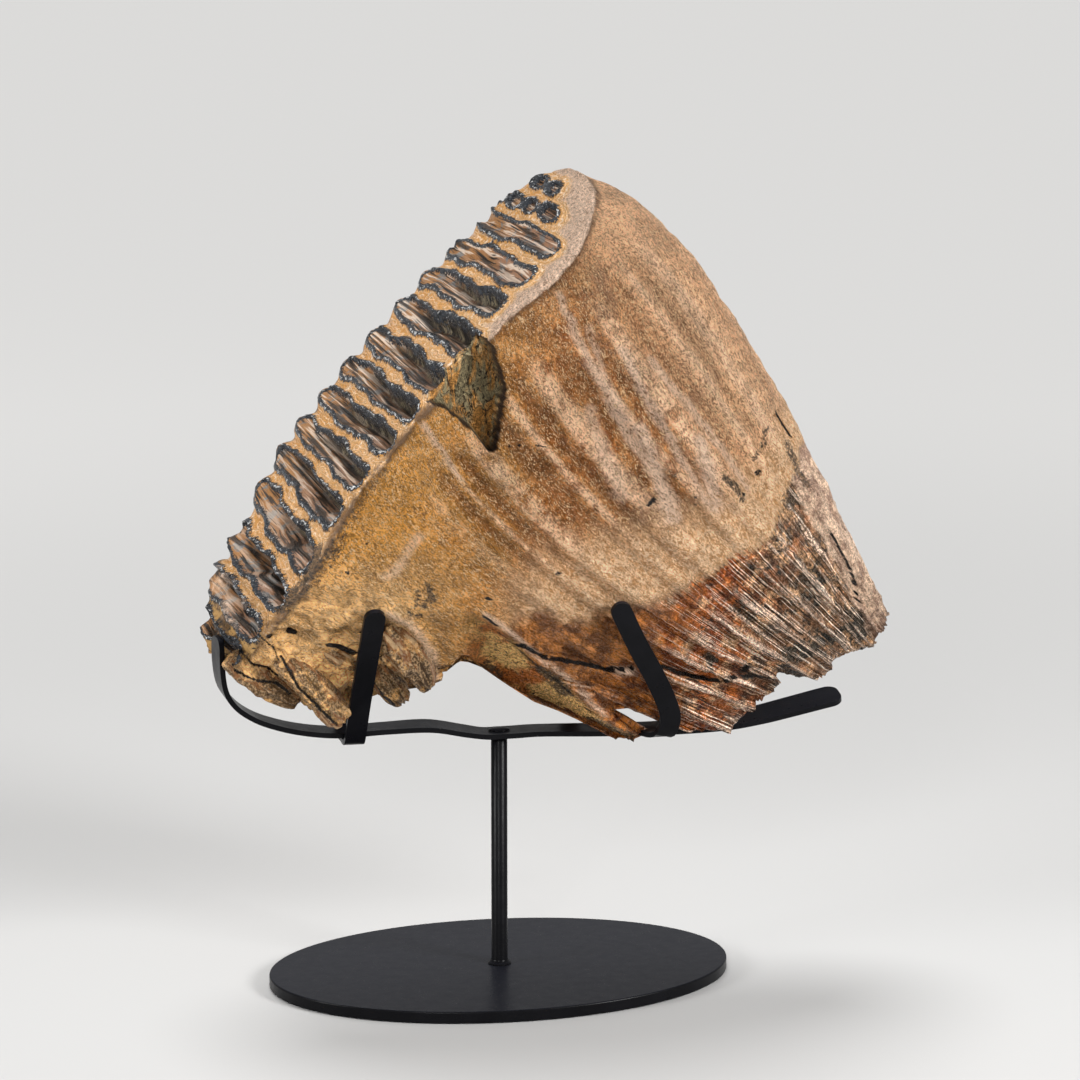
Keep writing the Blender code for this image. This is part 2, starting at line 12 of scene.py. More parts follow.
import bmesh
import bpy
import numpy as np
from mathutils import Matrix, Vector


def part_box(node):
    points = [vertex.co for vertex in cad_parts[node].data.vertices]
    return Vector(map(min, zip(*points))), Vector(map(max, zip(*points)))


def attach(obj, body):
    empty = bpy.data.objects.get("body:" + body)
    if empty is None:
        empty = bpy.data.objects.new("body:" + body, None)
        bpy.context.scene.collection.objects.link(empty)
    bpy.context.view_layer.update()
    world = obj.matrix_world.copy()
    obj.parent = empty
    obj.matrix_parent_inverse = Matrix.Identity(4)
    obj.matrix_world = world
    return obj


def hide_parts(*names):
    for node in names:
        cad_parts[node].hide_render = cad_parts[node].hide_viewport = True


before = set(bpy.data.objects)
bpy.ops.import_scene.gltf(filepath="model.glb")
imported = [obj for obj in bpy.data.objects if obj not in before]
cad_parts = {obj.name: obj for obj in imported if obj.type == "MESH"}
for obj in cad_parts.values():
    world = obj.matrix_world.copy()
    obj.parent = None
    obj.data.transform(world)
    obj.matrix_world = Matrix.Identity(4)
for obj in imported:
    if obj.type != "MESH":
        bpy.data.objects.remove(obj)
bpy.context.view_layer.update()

bl_info = {
    "name": "Fossil tooth on stand",
    "version": (1, 0, 0),
    "blender": (4, 5, 0),
    "location": "View3D > Sidebar > Fossil",
    "description": "Builds a fossil mammoth molar, its cradle stand and the stage",
    "category": "Object",
}

MM = 0.001
BODY = "root"
PLATE_LOW, PLATE_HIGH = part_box("base_plate")

# ------------------------------------------------------------------ stand paths (mm)
# Cradle bar, middle line of the strip: X, Z, turn about its own length in degrees.
BAR_PATH = (
    (-109.3, 142, -6), (-109.2, 131, -6), (-108, 122.5, -4), (-105, 117, 0), (-100, 112.2, 0),
    (-92, 107.9, 0), (-79, 104, 0), (-64, 102, 0), (-46, 102.4, 0), (-28, 102.4, 2),
    (-14, 99.7, 2), (-6, 98.2, 0), (0, 98.1, 0), (6, 98.1, 0), (16, 98.2, 0), (39, 97.2, 2),
    (64, 96.4, 3), (88, 97, 6), (104, 99.4, 12), (118, 102.2, 14), (129.5, 104.6, 15),
    (137.6, 106.2, 15),
)
BAR_AT_POST = 98.1
LEFT_LEG = (
    (-58.6, 0, 99.5), (-58.6, -6.4, 99.5), (-58.4, -9.6, 102), (-57.9, -20.5, 120),
    (-57.2, -34.5, 141), (-56.4, -46, 159.5),
)
RIGHT_LEG = (
    (48, 0, 99.3), (53.6, -12, 99.5), (58.6, -22.6, 99.9), (60.8, -25.8, 102.6), (61, -29.2, 109),
    (57.8, -33, 117), (52, -37.6, 128), (44.4, -42.2, 141), (35.8, -46.6, 158),
)
TOUCH_GAP = 0.3
# Foot of the post: distance from its middle line, height over the plate.
POST_FILLET = ((0, 0), (4.6, 0), (4.35, 0.35), (3.85, 0.75), (3.45, 1.15))
RIVET_SIZE = (4.3 * MM, 3.2 * MM, 0.9 * MM)
PLATE_BEVEL = 0.6
STRIP_BEVEL = 0.45
STRIP_SMOOTH = 35.0
BAR_STEP = 2
BAR_TIP_RADIUS = 4.6
STRAP_STEP = 1.5
PATH_CUTS = 24
TIP_CUTS = 11
TIP_SHARE = 0.16
FINGER_SECTIONS = 40
FINGER_ROWS = 16

# ------------------------------------------------------------------ stage (metres)
# Lamps: name, place, size, spread in degrees.
LAMPS = (
    ("key", (0.9, -0.9, 0.7), 0.4, 60.0), ("face", (-1.1, -0.25, 0.5), 0.35, 60.0),
    ("front", (-0.5, -1.3, 0.7), 0.3, 50.0),
)
LAMP_AIM = (0.02, 0.0, 0.19)
CAMERA_PLACE = Vector((-313.1, -1473.7, 486.5)) * MM
CAMERA_AIM = Vector((15.52, -3.47, 174.56)) * MM
CAMERA_LENS = 133.333
SUN_AIM = (0.01, -0.37, -0.93)
SUN_ANGLE = 28

# ------------------------------------------------------------------ tooth form (mm)
FACE_LENGTH = 238.9
FACE_TILT = 0.16
FACE_HALF_WIDTH = 43.0
FLAT_HALF_WIDTH = 3.0
LOW_END_LENGTH = 75.0
HIGH_END_LENGTH_NEAR = 50.0
HIGH_END_LENGTH_FAR = 70.0
PLATE_COUNT = 16
NO_RING = 30
# Rows of the tooth's grid across its face and down its plates; how far the rows across
# are drawn to the near side; and the share of a plate where the face's relief fades out.
ROWS_ACROSS = 62
ROWS_DOWN = 82
NEAR_ROWS = 0.25
EDGE_FADE = 0.14
FACE_LINE = (
    (-112.4, 128.5), (-112, 135.5), (-110.5, 142), (-105.5, 152.2), (-99.8, 162.6), (-93.5, 168.4),
    (-85.3, 180.2), (-79, 192), (-67.8, 209.8), (-56.8, 221.8), (-47.8, 233.8), (-36.8, 245.8),
    (-24.8, 258.8), (-13, 271), (-0.3, 283.2), (11.7, 298), (18.5, 306), (30, 316),
)
PLATE_FAR = (
    0, 14, 30, 47.5, 68, 84.5, 98, 112, 127.5, 142, 158, 173, 189, 204, 216.5, 226.5, 238.9,
)
PLATE_NEAR = (
    0, 12, 27, 43.5, 60, 81.5, 97, 115, 128, 142.5, 162, 180, 195, 210.5, 221.5, 230, 238.9,
)
BEND = (
    (0, 10, -13), (0.08, 24, -22), (0.11, 38, -24), (0.13, 57, -24), (0.15, 73, -29),
    (0.17, 98, -42), (0.25, 75, -40), (0.35, 56, -52), (0.5, 43, -69), (0.75, 40, -74),
    (0.9, 44, -68), (1, 70, -55),
)
SHOULDER = np.array((42.0, 56.0))
SHOULDER_FROM = 0.84
ROOT_LINE = (
    (0, -86, 118), (0.03, -80, 112), (0.065, -64, 105.5), (0.11, -32, 100), (0.14, 0, 98),
    (0.17, 40, 96.5), (0.25, 50.5, 95.5), (0.3, 66, 98), (0.4, 88, 97), (0.48, 100, 107),
    (0.6, 114, 116.5), (0.7, 128, 116.5), (0.8, 139, 125), (0.9, 147, 131.5), (1, 156, 139),
)
# Plate number, then how far down its line the root reaches: near, middle, far.
ROOT_REACH = (
    (0, 1, 1, 1), (0.8, 0.95, 0.97, 0.96), (1.03, 0.8, 0.84, 0.88), (1.15, 0.8, 0.84, 0.97),
    (1.44, 0.78, 0.82, 0.95), (1.67, 0.66, 0.7, 0.74), (1.79, 0.66, 0.7, 0.77),
    (2.07, 0.62, 0.66, 0.76), (2.21, 0.48, 0.5, 0.54), (2.35, 0.54, 0.54, 0.62),
    (2.53, 0.54, 0.52, 0.58), (2.66, 0.43, 0.44, 0.48), (2.72, 0.5, 0.48, 0.5),
    (2.88, 0.97, 0.6, 0.62), (3.04, 1, 0.72, 0.72), (3.84, 1, 0.84, 0.86), (4.3, 0.99, 0.84, 0.88),
    (4.37, 0.86, 0.82, 0.88), (4.49, 0.86, 0.82, 0.89), (4.56, 0.94, 0.88, 0.92),
    (4.87, 0.99, 0.89, 0.95), (5.9, 1, 0.9, 0.98), (6.85, 0.99, 0.9, 0.96),
    (8.4, 0.98, 0.91, 0.99), (9.16, 0.95, 0.91, 0.96), (9.78, 1, 0.92, 0.98),
    (10.7, 0.99, 0.92, 0.95), (10.95, 0.975, 0.93, 0.97), (12.7, 1, 0.95, 0.98), (16, 1, 1, 1),
)
LOW_END_HEIGHT = (104, 111, 123, 134, 146, 157, 175)
LOW_END_WIDTH = (7, 11.5, 19.5, 27.5, 35, 41.5, 43)
REST_HEIGHT = (0, 7, 21, 39, 58, 80)
REST_WIDTH = (18, 22.5, 30.5, 37, 41.5, 43)
BASE_X = (0, 60, 90, 150)
BASE_Z = (98, 97, 98, 128)
LOW_END_X = (-42, 12)
VALLEY_Y = -1.0
VALLEY_FLOOR = 7.8
VALLEY_MOUTH = 14.0
VALLEY_DEPTH = 10.0
VALLEY_LENGTH = 0.06

PLATE_PITCH = 15.0
LOOP_HALF_WIDTH = 4.8
RIDGE_HALF_WIDTH = 1.1
LOOP_NEAR_END = (-25, -33, -38, -40, -41, -41.5, -41.5, -41.5, -41.5, -40.5, -35, -33, -31)
LOOP_FAR_END = 42.0
# Last plates, worn to rings: place along the face, place across, half length across
# the face, half width along it.
ISLANDS = (
    (228.5, 2, 5.4, 3.1), (227.8, 16, 6, 2.8), (219.6, -9, 7, 3.4), (218, 6.5, 6.2, 3.1),
    (216.6, 21.5, 6.6, 3), (215.8, 35, 4.6, 2.6),
)
ROOT_GAPS = (1.03, 1.67, 2.21, 2.69)
ROOT_GAP_WIDTH = 0.12
ROOT_GAP_DEPTH = 4.5

# Upper edge of the bare root zone on the flank, along X (Z of the edge).
ROOT_ZONE_X = (-120, -60, -20, 0, 19, 28, 40, 51, 62, 69, 74, 82, 92, 98, 101, 106, 118, 150)
ROOT_ZONE_Z = (
    104, 112, 132, 147, 152, 154.7, 156, 158.7, 161, 164.5, 167, 173, 177, 183, 188, 196, 214, 232,
)

# Lowest line of the near side between the low end and the middle roots (X, Z).
UNDERSIDE = (
    (-115, 133), (-109, 130), (-103, 123.5), (-93, 120), (-83, 117), (-76, 119), (-66, 124),
    (-56, 128), (-46, 128), (-37, 125), (-30, 122.5), (-26, 126.5), (-22.5, 134), (-20.5, 136.5),
    (-17, 135.6), (-9, 128.6), (3, 120), (19, 109), (32, 100), (42, 95.2), (52, 91.8),
)
UNDERSIDE_SQUASH = 0.12
UNDERSIDE_NEAR = (6, -6)
# Crest of the broad middle root; the skin below it turns under.
SPUR_CREST = (
    (-26, 160), (-15, 155), (-7.5, 149.4), (0, 142), (7.5, 134.5), (17, 127), (26, 117.4),
    (36, 108), (43, 103), (50, 99.2), (55, 95),
)
SPUR_TURN = 0.75

# Wedge broken out of the near edge of the face.
CHIP_OUTLINE = (
    (-50, 246.5), (-37.5, 236.5), (-29, 234), (-20, 226), (-11, 216), (-8, 221), (-6.5, 236),
    (-7, 248), (-10, 256.5), (-23, 267),
)
CHIP_MIDDLE = (-24.0, 240.0)
CHIP_FLOOR_Y = -37.0

CRUST, DARK, LIGHT = "crust", "dark", "light"
# Lines that are both marked and formed (X, Z).
LOW_END_CRUST = ((-112, 166), (-109.7, 157.3), (-109.8, 147.7), (-108.6, 140))
SPUR_CRACK = (
    (0.2, 142.1), (8.9, 136), (16.8, 133.9), (25.1, 131.7), (37.1, 128.5), (47.6, 129.6),
    (57, 129.5), (65.8, 125.1), (74, 122.9), (82.5, 121.5), (87.9, 122.9), (90.7, 127),
    (94.6, 130.6),
)
UPPER_CRACK = ((103.7, 224), (106.9, 218.9), (110.6, 213.8))
EDGE_CRACK = (
    (124.6, 178.3), (128.6, 171.3), (131.6, 165.8), (135.2, 158.2), (136, 153), (137, 149.5),
)
LOWER_GROOVE = ((-105, 132), (-97, 128), (-90, 127), (-84, 122))
UPPER_GROOVE = ((-104, 141), (-99, 135), (-93, 133), (-87, 128))
# Marks of the near flank: half width, strength, points (X, Z).
MARKS = {
    CRUST: (
        (2.8, 1, LOW_END_CRUST),
        (2.6, 0.95, ((-90.5, 160.8), (-84.3, 167.3), (-79.6, 174.9), (-75.6, 182.9))),
        (3.6, 0.6, ((-88.5, 160.8), (-80.3, 170.3), (-73, 181), (-64, 195))),
        (2, 0.55, ((-62, 199), (-52, 211))),
        (1.5, 1, ((-36.4, 167.2), (-34.2, 161.6), (-37.6, 159.6))),
        (1.1, 0.9, ((-39.6, 165), (-40.6, 159))),
        (1.3, 0.9, ((-43.4, 156.7), (-38, 155))),
        (1.3, 0.85, ((91.8, 209.2), (95.7, 211.7), (97.5, 217.5), (101.4, 219.6))),
        (1.6, 0.85, ((77.8, 203.6), (82.1, 199.8), (86.1, 194.8))),
        (1.1, 0.8, ((58.4, 206.5), (60.6, 203))),
        (1.3, 0.8, ((65.8, 197.7), (66.6, 194))),
        (0.9, 0.7, ((32, 200.9), (33.2, 199))),
        (0.9, 0.7, ((55, 186), (56.6, 184))),
        (2, 0.8, ((107.4, 212.4), (109.9, 205.4), (115.5, 195.5))),
        (3, 0.62, ((104, 194), (112, 180), (120, 168))),
        (2.6, 0.62, ((84, 152), (90, 147), (98, 140))),
        (2.2, 0.8, ((-9, 131.1), (-3.4, 125.9))),
        (2.4, 1, ((7.6, 132), (14.3, 126.3), (20, 119))),
        (3.4, 1, ((34, 104.5), (41, 100), (51.3, 95.9))),
    ),
    # Dark marks: cracks and black flecks, and painted shade in pits and grooves.
    DARK: (
        (1.1, 1, ((-86.6, 149.6), (-84.8, 149))),
        (1.3, 1, ((-59.6, 147.9), (-58.9, 147.3))),
        (0.9, 1, ((-94, 148.1), (-93.4, 148.4))),
        (0.7, 0.9, ((-51.2, 177.2), (-50.8, 177.2))),
        (0.9, 0.7, ((-67, 173.8), (-66.5, 173.6))),
        (0.8, 0.8, ((-59.8, 185.2), (-59.6, 184.8))),
        (0.7, 0.9, ((-13.4, 161.8), (-11.6, 160.8))),
        (0.9, 0.8, ((13.2, 170.4), (14.2, 169))),
        (0.85, 1, SPUR_CRACK),
        (0.6, 0.9, ((88.5, 123), (95, 122.6), (103, 120.4))),
        (0.6, 0.9, UPPER_CRACK),
        (0.6, 0.95, EDGE_CRACK),
        (0.45, 0.75, ((45.2, 193.5), (51, 197.1), (56.8, 199.1), (59.5, 203))),
        (0.45, 0.75, ((86, 196.3), (90, 199.3), (93.6, 204), (95, 207))),
        (0.45, 0.7, ((-8.6, 217.8), (-2, 219), (8, 218.6))),
        (0.5, 0.9, ((-16.1, 155.2), (-12, 152.6), (-9, 149.8))),
        (0.6, 0.6, ((-9, 148), (-1, 140.6), (7, 132.6), (16, 125.2), (25, 116.2), (34, 107.6))),
        (0.8, 0.7, ((-89, 139), (-82, 126.5), (-74, 117), (-67, 109.6))),
        (0.9, 0.75, ((-57, 131), (-52, 124), (-46, 117))),
        (1.2, 0.85, ((-72, 143.8), (-67, 142.6), (-61, 139))),
        (0.8, 0.7, LOWER_GROOVE),
        (0.7, 0.7, UPPER_GROOVE),
        (0.6, 0.6, ((-98, 149), (-92, 143), (-90, 137))),
    ),
    # Light marks: painted highlights along raised ridges and flute crests, and one painted bright
    # spot in the spur's cleft.
    LIGHT: (
        (1.7, 0.65, ((-50.3, 157), (-43.1, 152.5), (-36.2, 144.7), (-31.7, 136.5), (-29.7, 129.6),
                     (-30, 123))),
        (1.6, 1, ((39.2, 128.4), (43.3, 128.2))),
        (1, 0.8, ((-36.9, 228.3), (-29.4, 216.8), (-23.8, 207.8))),
        (2.6, 0.8, ((-106.6, 168.7), (-104.8, 164.8), (-105.2, 157.5), (-106.2, 150.6))),
        (1, 0.8, ((-15.1, 155.7), (-7.5, 150.4), (0.2, 143.6), (7.5, 136.3), (17.4, 128.6),
                  (26.4, 119.2), (36, 109.4))),
        (1.6, 0.75, ((14, 275), (26, 249), (38, 226), (55, 197))),
        (1.8, 0.8, ((38, 254), (57, 219), (64, 207), (73, 192))),
        (1.6, 0.7, ((50, 249), (63, 233), (79, 213), (88, 199))),
        (1.5, 0.6, ((26, 262), (31.5, 243), (45, 216), (61, 194))),
        (3.2, 0.9, ((45, 223.3), (50.9, 207.8), (57.8, 190.3))),
        (3, 0.9, ((68.3, 218.5), (72.1, 207), (75.6, 193.5))),
        (2.6, 0.6, ((25.7, 230.7), (31.5, 212.7), (38.1, 198.6))),
        (2, 0.5, ((-52, 171), (-46, 176), (-40, 186))),
    ),
}
# Form of those marks: half width, height (negative is a groove), points (X, Z).
FORMS = (
    (2.6, 2.2, ((-15.1, 155.4), (-7.5, 150.4), (0.2, 143.1), (7.5, 135.3), (17.4, 128),
                (26.4, 118.4), (35.6, 108.7), (43.1, 103.5), (50, 99.8))),
    (6, -3.4, ((-2, 155), (8, 145), (18, 136), (28, 128), (39, 117), (48, 110))),
    (0.9, -2.4, SPUR_CRACK),
    (2.2, 1.2, ((9, 133.5), (16.8, 131.4), (25.1, 129.2), (37.1, 126), (47.6, 127.1), (57, 127),
                (65.8, 122.6), (74, 120.4), (82.5, 119))),
    (2.4, 3, ((-50.3, 157.8), (-43.1, 153.5), (-36.2, 145.2), (-31.7, 136.5), (-29.7, 129.6),
              (-30, 122.6))),
    (4.5, -3, ((-52, 150), (-45, 143), (-40, 135), (-38, 128))),
    (1.6, -2.4, ((-86.9, 149.7), (-84.6, 149))),
    (1.4, -2.6, ((-59.8, 148.1), (-58.7, 147.1))),
    (1, -1.6, ((-94.2, 148), (-93.2, 148.5))),
    (2.8, -3, LOW_END_CRUST),
    (2.2, 1.6, ((-106.6, 170.7), (-104.8, 164.8), (-105.2, 157.5), (-106.2, 150.6))),
    (2.6, 1.8, ((-101, 158), (-96, 150), (-93, 143), (-88, 137))),
    (2, -1.8, UPPER_GROOVE),
    (2, -1.6, LOWER_GROOVE),
    (0.9, -1, UPPER_CRACK),
    (0.9, -1.1, EDGE_CRACK),
    (4, -1.6, ((-66, 160), (-58, 172), (-48, 188), (-38, 200))),
    (3, -1.4, ((-78, 162), (-70, 176), (-62, 190), (-50, 206))),
)

# Broken roots under the low end: path (X, Y, Z), half width, half thickness at each.
FINGERS = {
    "root_ridge": (
        (-92, -17, 144, 4, 6.5), (-85.5, -18, 136, 5.4, 7), (-78, -17.5, 127.4, 5.6, 7),
        (-71.5, -16, 119.6, 5.6, 6.5), (-66.6, -14.6, 113.8, 5.4, 6),
        (-63.4, -13.6, 110.2, 4.8, 5.4)),
    "root_lobe": (
        (-59, -18.5, 141, 4, 5), (-54.5, -18.5, 134.5, 4.8, 6), (-49, -18.6, 127.8, 4.9, 6),
        (-44.5, -18.4, 122, 4.6, 5.6), (-41.2, -18, 117.6, 4, 4.8)),
    "root_shelf": (
        (-50, -30.5, 150, 4, 5), (-44.5, -30.5, 143.6, 6.4, 5.6), (-39.6, -29.5, 136.6, 6.6, 6),
        (-35.4, -27.5, 130, 5, 5.4), (-32.6, -26, 124.6, 2, 3.4)),
    "root_spike": (
        (-48, -27, 139, 3.4, 3.6), (-44.6, -27, 134, 3, 3.4), (-41.6, -26.4, 129.6, 1.9, 2.6),
        (-39.6, -26, 126.4, 0.8, 1.4)),
    "root_stub": (
        (-72.2, -23.6, 141.6, 2, 2.4), (-69.4, -25.4, 139.9, 3.3, 3.3),
        (-65.4, -25, 137, 3.4, 3.4), (-60, -21.5, 133.6, 2.9, 3)),
    "root_base": (
        (-104, -8, 137, 6, 7), (-97, -9, 129, 6.4, 8), (-90, -9.5, 124, 5.4, 8),
        (-83.5, -9.5, 119.6, 4.2, 6.4), (-79.6, -9.5, 118.4, 2.4, 4)),
}


# ------------------------------------------------------------------ small helpers
def ease(low, high, value):
    ramp = np.clip((value - low) / (high - low), 0, 1)
    return ramp * ramp * (3 - 2 * ramp)


def lattice(cells, seed):
    """A fixed random number from -1 to 1 for each whole-numbered cell."""
    mixed = (cells @ np.array((73856093, 19349663, 83492791)) + seed * 9176) & 0x7FFFFFFF
    mixed = (mixed ^ (mixed >> 13)) & 0x7FFFFFFF
    mixed = (mixed * 1103515245 + 12345) & 0x7FFFFFFF
    mixed = ((mixed ^ (mixed >> 11)) * 1597334677) & 0x7FFFFFFF
    return mixed / 0x3FFFFFFF - 1


def uneven(points, size, seed, octaves=1):
    """A smooth random field from about -1 to 1 over points in mm."""
    total = 0
    weight = 1
    for octave in range(octaves):
        at = points * (2 ** octave / size) + seed * 7.31
        cell = np.floor(at).astype(np.int64)
        part = at - cell
        part = part * part * (3 - 2 * part)
        for corner in product((0, 1), repeat=3):
            share = np.prod(np.where(corner, part, 1 - part), axis=-1)
            total = total + weight * share * lattice(cell + np.array(corner), seed + octave)
        weight *= 0.5
    return total


def line_distance(points, line):
    """Distance of flat points from a line of straight pieces."""
    nearest = np.full(len(points), 1e6)
    knots = np.array(line, dtype=float)
    for start, end in zip(knots, knots[1:]):
        along = end - start
        share = np.clip((points - start) @ along / (along @ along), 0, 1)
        gap = np.linalg.norm(points - start - share[:, None] * along, axis=1)
        nearest = np.minimum(nearest, gap)
    return nearest


def outline_depth(points, outline):
    """Distance inside a closed outline; negative outside."""
    knots = np.array(outline, dtype=float)
    inside = np.zeros(len(points), dtype=bool)
    x, z = points[:, 0], points[:, 1]
    for start, end in zip(knots, np.roll(knots, -1, axis=0)):
        rise = end[1] - start[1]
        if abs(rise) > 1e-9:
            crosses = (start[1] > z) != (end[1] > z)
            inside ^= crosses & (x < (end[0] - start[0]) * (z - start[1]) / rise + start[0])
    gap = line_distance(points, [*outline, outline[0]])
    return np.where(inside, gap, -gap)


def grid_cube(across_x, across_y, across_z):
    """A unit cube cut into a grid of faces on every side."""
    bm = bmesh.new()
    bmesh.ops.create_cube(bm, size=1)
    for axis, count in ((0, across_x), (1, across_y), (2, across_z)):
        if count < 2:
            continue
        lines = []
        for edge in bm.edges:
            step = edge.verts[1].co - edge.verts[0].co
            if abs(step[axis]) > 0.5:
                lines.append(edge)
        bmesh.ops.subdivide_edges(bm, edges=lines, cuts=count - 1, use_grid_fill=True)
    return bm


def read_points(bm):
    return np.array([vert.co[:] for vert in bm.verts])


def write_points(bm, points_mm):
    for vert, point in zip(bm.verts, points_mm):
        vert.co = Vector(point) * MM


def finish_piece(name, bm, material, node, smooth_angle=None):
    """Turn the mesh out, hang it under the body's empty, hide the part it replaces and give it its
    material.
    """
    mesh = bpy.data.meshes.new(name)
    bmesh.ops.recalc_face_normals(bm, faces=bm.faces)
    if bm.calc_volume(signed=True) < 0:
        bmesh.ops.reverse_faces(bm, faces=bm.faces)
    bm.to_mesh(mesh)
    bm.free()
    mesh.shade_smooth()
    if smooth_angle is not None:
        mesh.set_sharp_from_angle(angle=math.radians(smooth_angle))
    mesh.materials.append(material)
    piece = bpy.data.objects.new(name, mesh)
    bpy.context.scene.collection.objects.link(piece)
    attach(piece, BODY)
    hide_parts(node)
    return piece


def add_bevel(piece, width_mm):
    bevel = piece.modifiers.new("edge", "BEVEL")
    bevel.width = width_mm * MM
    bevel.segments = 3
    bevel.limit_method = "ANGLE"
    bevel.angle_limit = math.radians(40)
    bevel.harden_normals = False


# ------------------------------------------------------------------ material nodes
class Finish:
    """A material and short ways to join its nodes."""

    def __init__(self, name):
        self.material = bpy.data.materials.new(name)
        self.material.use_nodes = True
        self.nodes = self.material.node_tree.nodes
        self.shader = self.nodes["Principled BSDF"]
        self.place = self.stretch(self.add("TexCoord").outputs["Object"], (1 / MM,) * 3)

    def feed(self, socket, value):
        if isinstance(value, bpy.types.NodeSocket):
            self.material.node_tree.links.new(value, socket)
        elif socket.type == "RGBA":
            socket.default_value = (*value, 1)
        else:
            socket.default_value = value

    def add(self, kind, inputs=(), **settings):
        """A new shader node with its settings, and its inputs by name or number."""
        node = self.nodes.new("ShaderNode" + kind)
        for name, value in settings.items():
            setattr(node, name, value)
        for socket, value in dict(inputs).items():
            self.feed(node.inputs[socket], value)
        return node

    def field(self, name, output="Fac"):
        return self.add("Attribute", attribute_name=name).outputs[output]

    def stretch(self, vector, scale):
        return self.add("Mapping", {"Vector": vector, "Scale": scale}).outputs["Vector"]

    def part(self, vector, axis):
        return self.add("SeparateXYZ", {0: vector}).outputs[axis]

    def noise(self, vector, size, detail=2, rough=0.5, twist=0):
        """Noise with marks about size across, in the vector's own unit."""
        inputs = {"Vector": vector, "Scale": 1 / size, "Detail": detail, "Roughness": rough,
                  "Distortion": twist}
        return self.add("TexNoise", inputs).outputs["Fac"]

    def maths(self, operation, *terms, **settings):
        node = self.add("Math", dict(enumerate(terms)), operation=operation, **settings)
        return node.outputs[0]

    times = partialmethod(maths, "MULTIPLY")
    plus = partialmethod(maths, "ADD")
    highest = partialmethod(maths, "MAXIMUM")
    times_plus = partialmethod(maths, "MULTIPLY_ADD")

    def off_middle(self, value, middle=0.5):
        return self.maths("SUBTRACT", value, middle)

    def sway(self, noise, amount, base):
        """A value moved up and down by a noise about its middle."""
        return self.times_plus(self.off_middle(noise), amount, base)

    def ramp(self, value, low, high, bottom=0, top=1):
        ends = {"Value": value, "From Min": low, "From Max": high, "To Min": bottom, "To Max": top}
        return self.add("MapRange", ends, interpolation_type="SMOOTHSTEP").outputs["Result"]

    def where(self, *ranges):
        """Share of a place that lies in all of the ranges: value, low, high, ends."""
        share = self.ramp(*ranges[0])
        for limits in ranges[1:]:
            share = self.times(share, self.ramp(*limits))
        return share

    def mix(self, share, first, second):
        node = self.add("Mix", {"Factor": share, "A": first, "B": second}, data_type="RGBA")
        return node.outputs["Result"]

    def coats(self, tone, *coats):
        """Lay colours on in turn, each where its value runs from low to high."""
        for value, low, high, colour, *most in coats:
            tone = self.mix(self.ramp(value, low, high, 0, *most), tone, colour)
        return tone

    def stains(self, tone, *stains):
        """Lay colours on in turn, each by its share times its amount."""
        for share, amount, colour in stains:
            tone = self.mix(self.times(share, amount), tone, colour)
        return tone

    def shade(self, tone, amount):
        """Multiply a colour by a grey number."""
        return self.add("VectorMath", {0: tone, "Scale": amount}, operation="SCALE").outputs[0]

    def shades(self, tone, *shades):
        """Shade in turn by values: value, low, high, darkest, brightest."""
        for limits in shades:
            tone = self.shade(tone, self.ramp(*limits))
        return tone

    def finished(self, tone, rough, specular, height_mm=None):
        """Set colour, roughness, specular level and relief on the shader."""
        self.feed(self.shader.inputs["Base Color"], tone)
        self.feed(self.shader.inputs["Roughness"], rough)
        self.shader.inputs["Specular IOR Level"].default_value = specular
        if height_mm is not None:
            bump = self.add("Bump", {"Strength": 1, "Distance": MM, "Height": height_mm})
            self.feed(self.shader.inputs["Normal"], bump.outputs["Normal"])
        return self.material


# ------------------------------------------------------------------ properties
def colour_property(name, default, description):
    return bpy.props.FloatVectorProperty(name=name, description=description, default=default,
                                         subtype="COLOR", size=3, min=0, max=1)


def length_property(name, default, description, least=0):
    return bpy.props.FloatProperty(name=name, description=description, default=default, min=least,
                                   unit="LENGTH", subtype="DISTANCE")


class FossilToothSettings(bpy.types.PropertyGroup):
    ridge_height: length_property("Ridge height", 1.8 * MM, "Height of the enamel ridges")
    near_trough: length_property("Near trough", 8.2 * MM, "Depth of the loops at the near edge")
    far_trough: length_property("Far trough", 2.6 * MM, "Depth of the loops at the far edge")
    flute_height: length_property("Flute height", 2.0 * MM, "Swelling of the flank over a plate")
    brown: colour_property("Cement brown", (0.2, 0.056, 0.007), "Darker brown of the flank")
    gold: colour_property("Cement gold", (0.5, 0.235, 0.042), "Golden brown of the low end")
    tan: colour_property("Cement tan", (0.74, 0.44, 0.255), "Pinkish tan of the high end")
    rust: colour_property("Root rust", (0.15, 0.032, 0.007), "Red brown of the bare roots")
    # The pale streak colour paints the highlights of the light marks and the pale specks.
    bone: colour_property("Pale streak", (0.86, 0.61, 0.44), "Pale streaks and worn crests")
    enamel: colour_property("Enamel", (0.018, 0.02, 0.024), "Blue black of the enamel")
    dentine: colour_property("Dentine", (0.32, 0.165, 0.09), "Pinkish brown inside the loops")
    ochre: colour_property("Ochre", (0.62, 0.29, 0.062), "Orange ochre between the loops")
    crust: colour_property("Crust", (0.03, 0.026, 0.022), "Black mineral crust")


class FossilStandSettings(bpy.types.PropertyGroup):
    plate_length: length_property("Plate length", PLATE_HIGH.x - PLATE_LOW.x, "Length of the oval")
    plate_depth: length_property("Plate depth", PLATE_HIGH.y - PLATE_LOW.y, "Depth of the oval")
    plate_thickness: length_property("Plate thickness", PLATE_HIGH.z, "Thickness of the oval")
    post_diameter: length_property("Post diameter", 6.35 * MM, "Diameter of the post")
    bar_width: length_property("Bar width", 12.7 * MM, "Width of the cradle bar")
    strap_width: length_property("Strap width", 8.0 * MM, "Width of the cradle straps")
    strip_thickness: length_property("Strip thickness", 2.0 * MM, "Thickness of bar and straps")
    paint: colour_property("Paint", (0.0035, 0.0035, 0.0045), "Black paint of the stand")


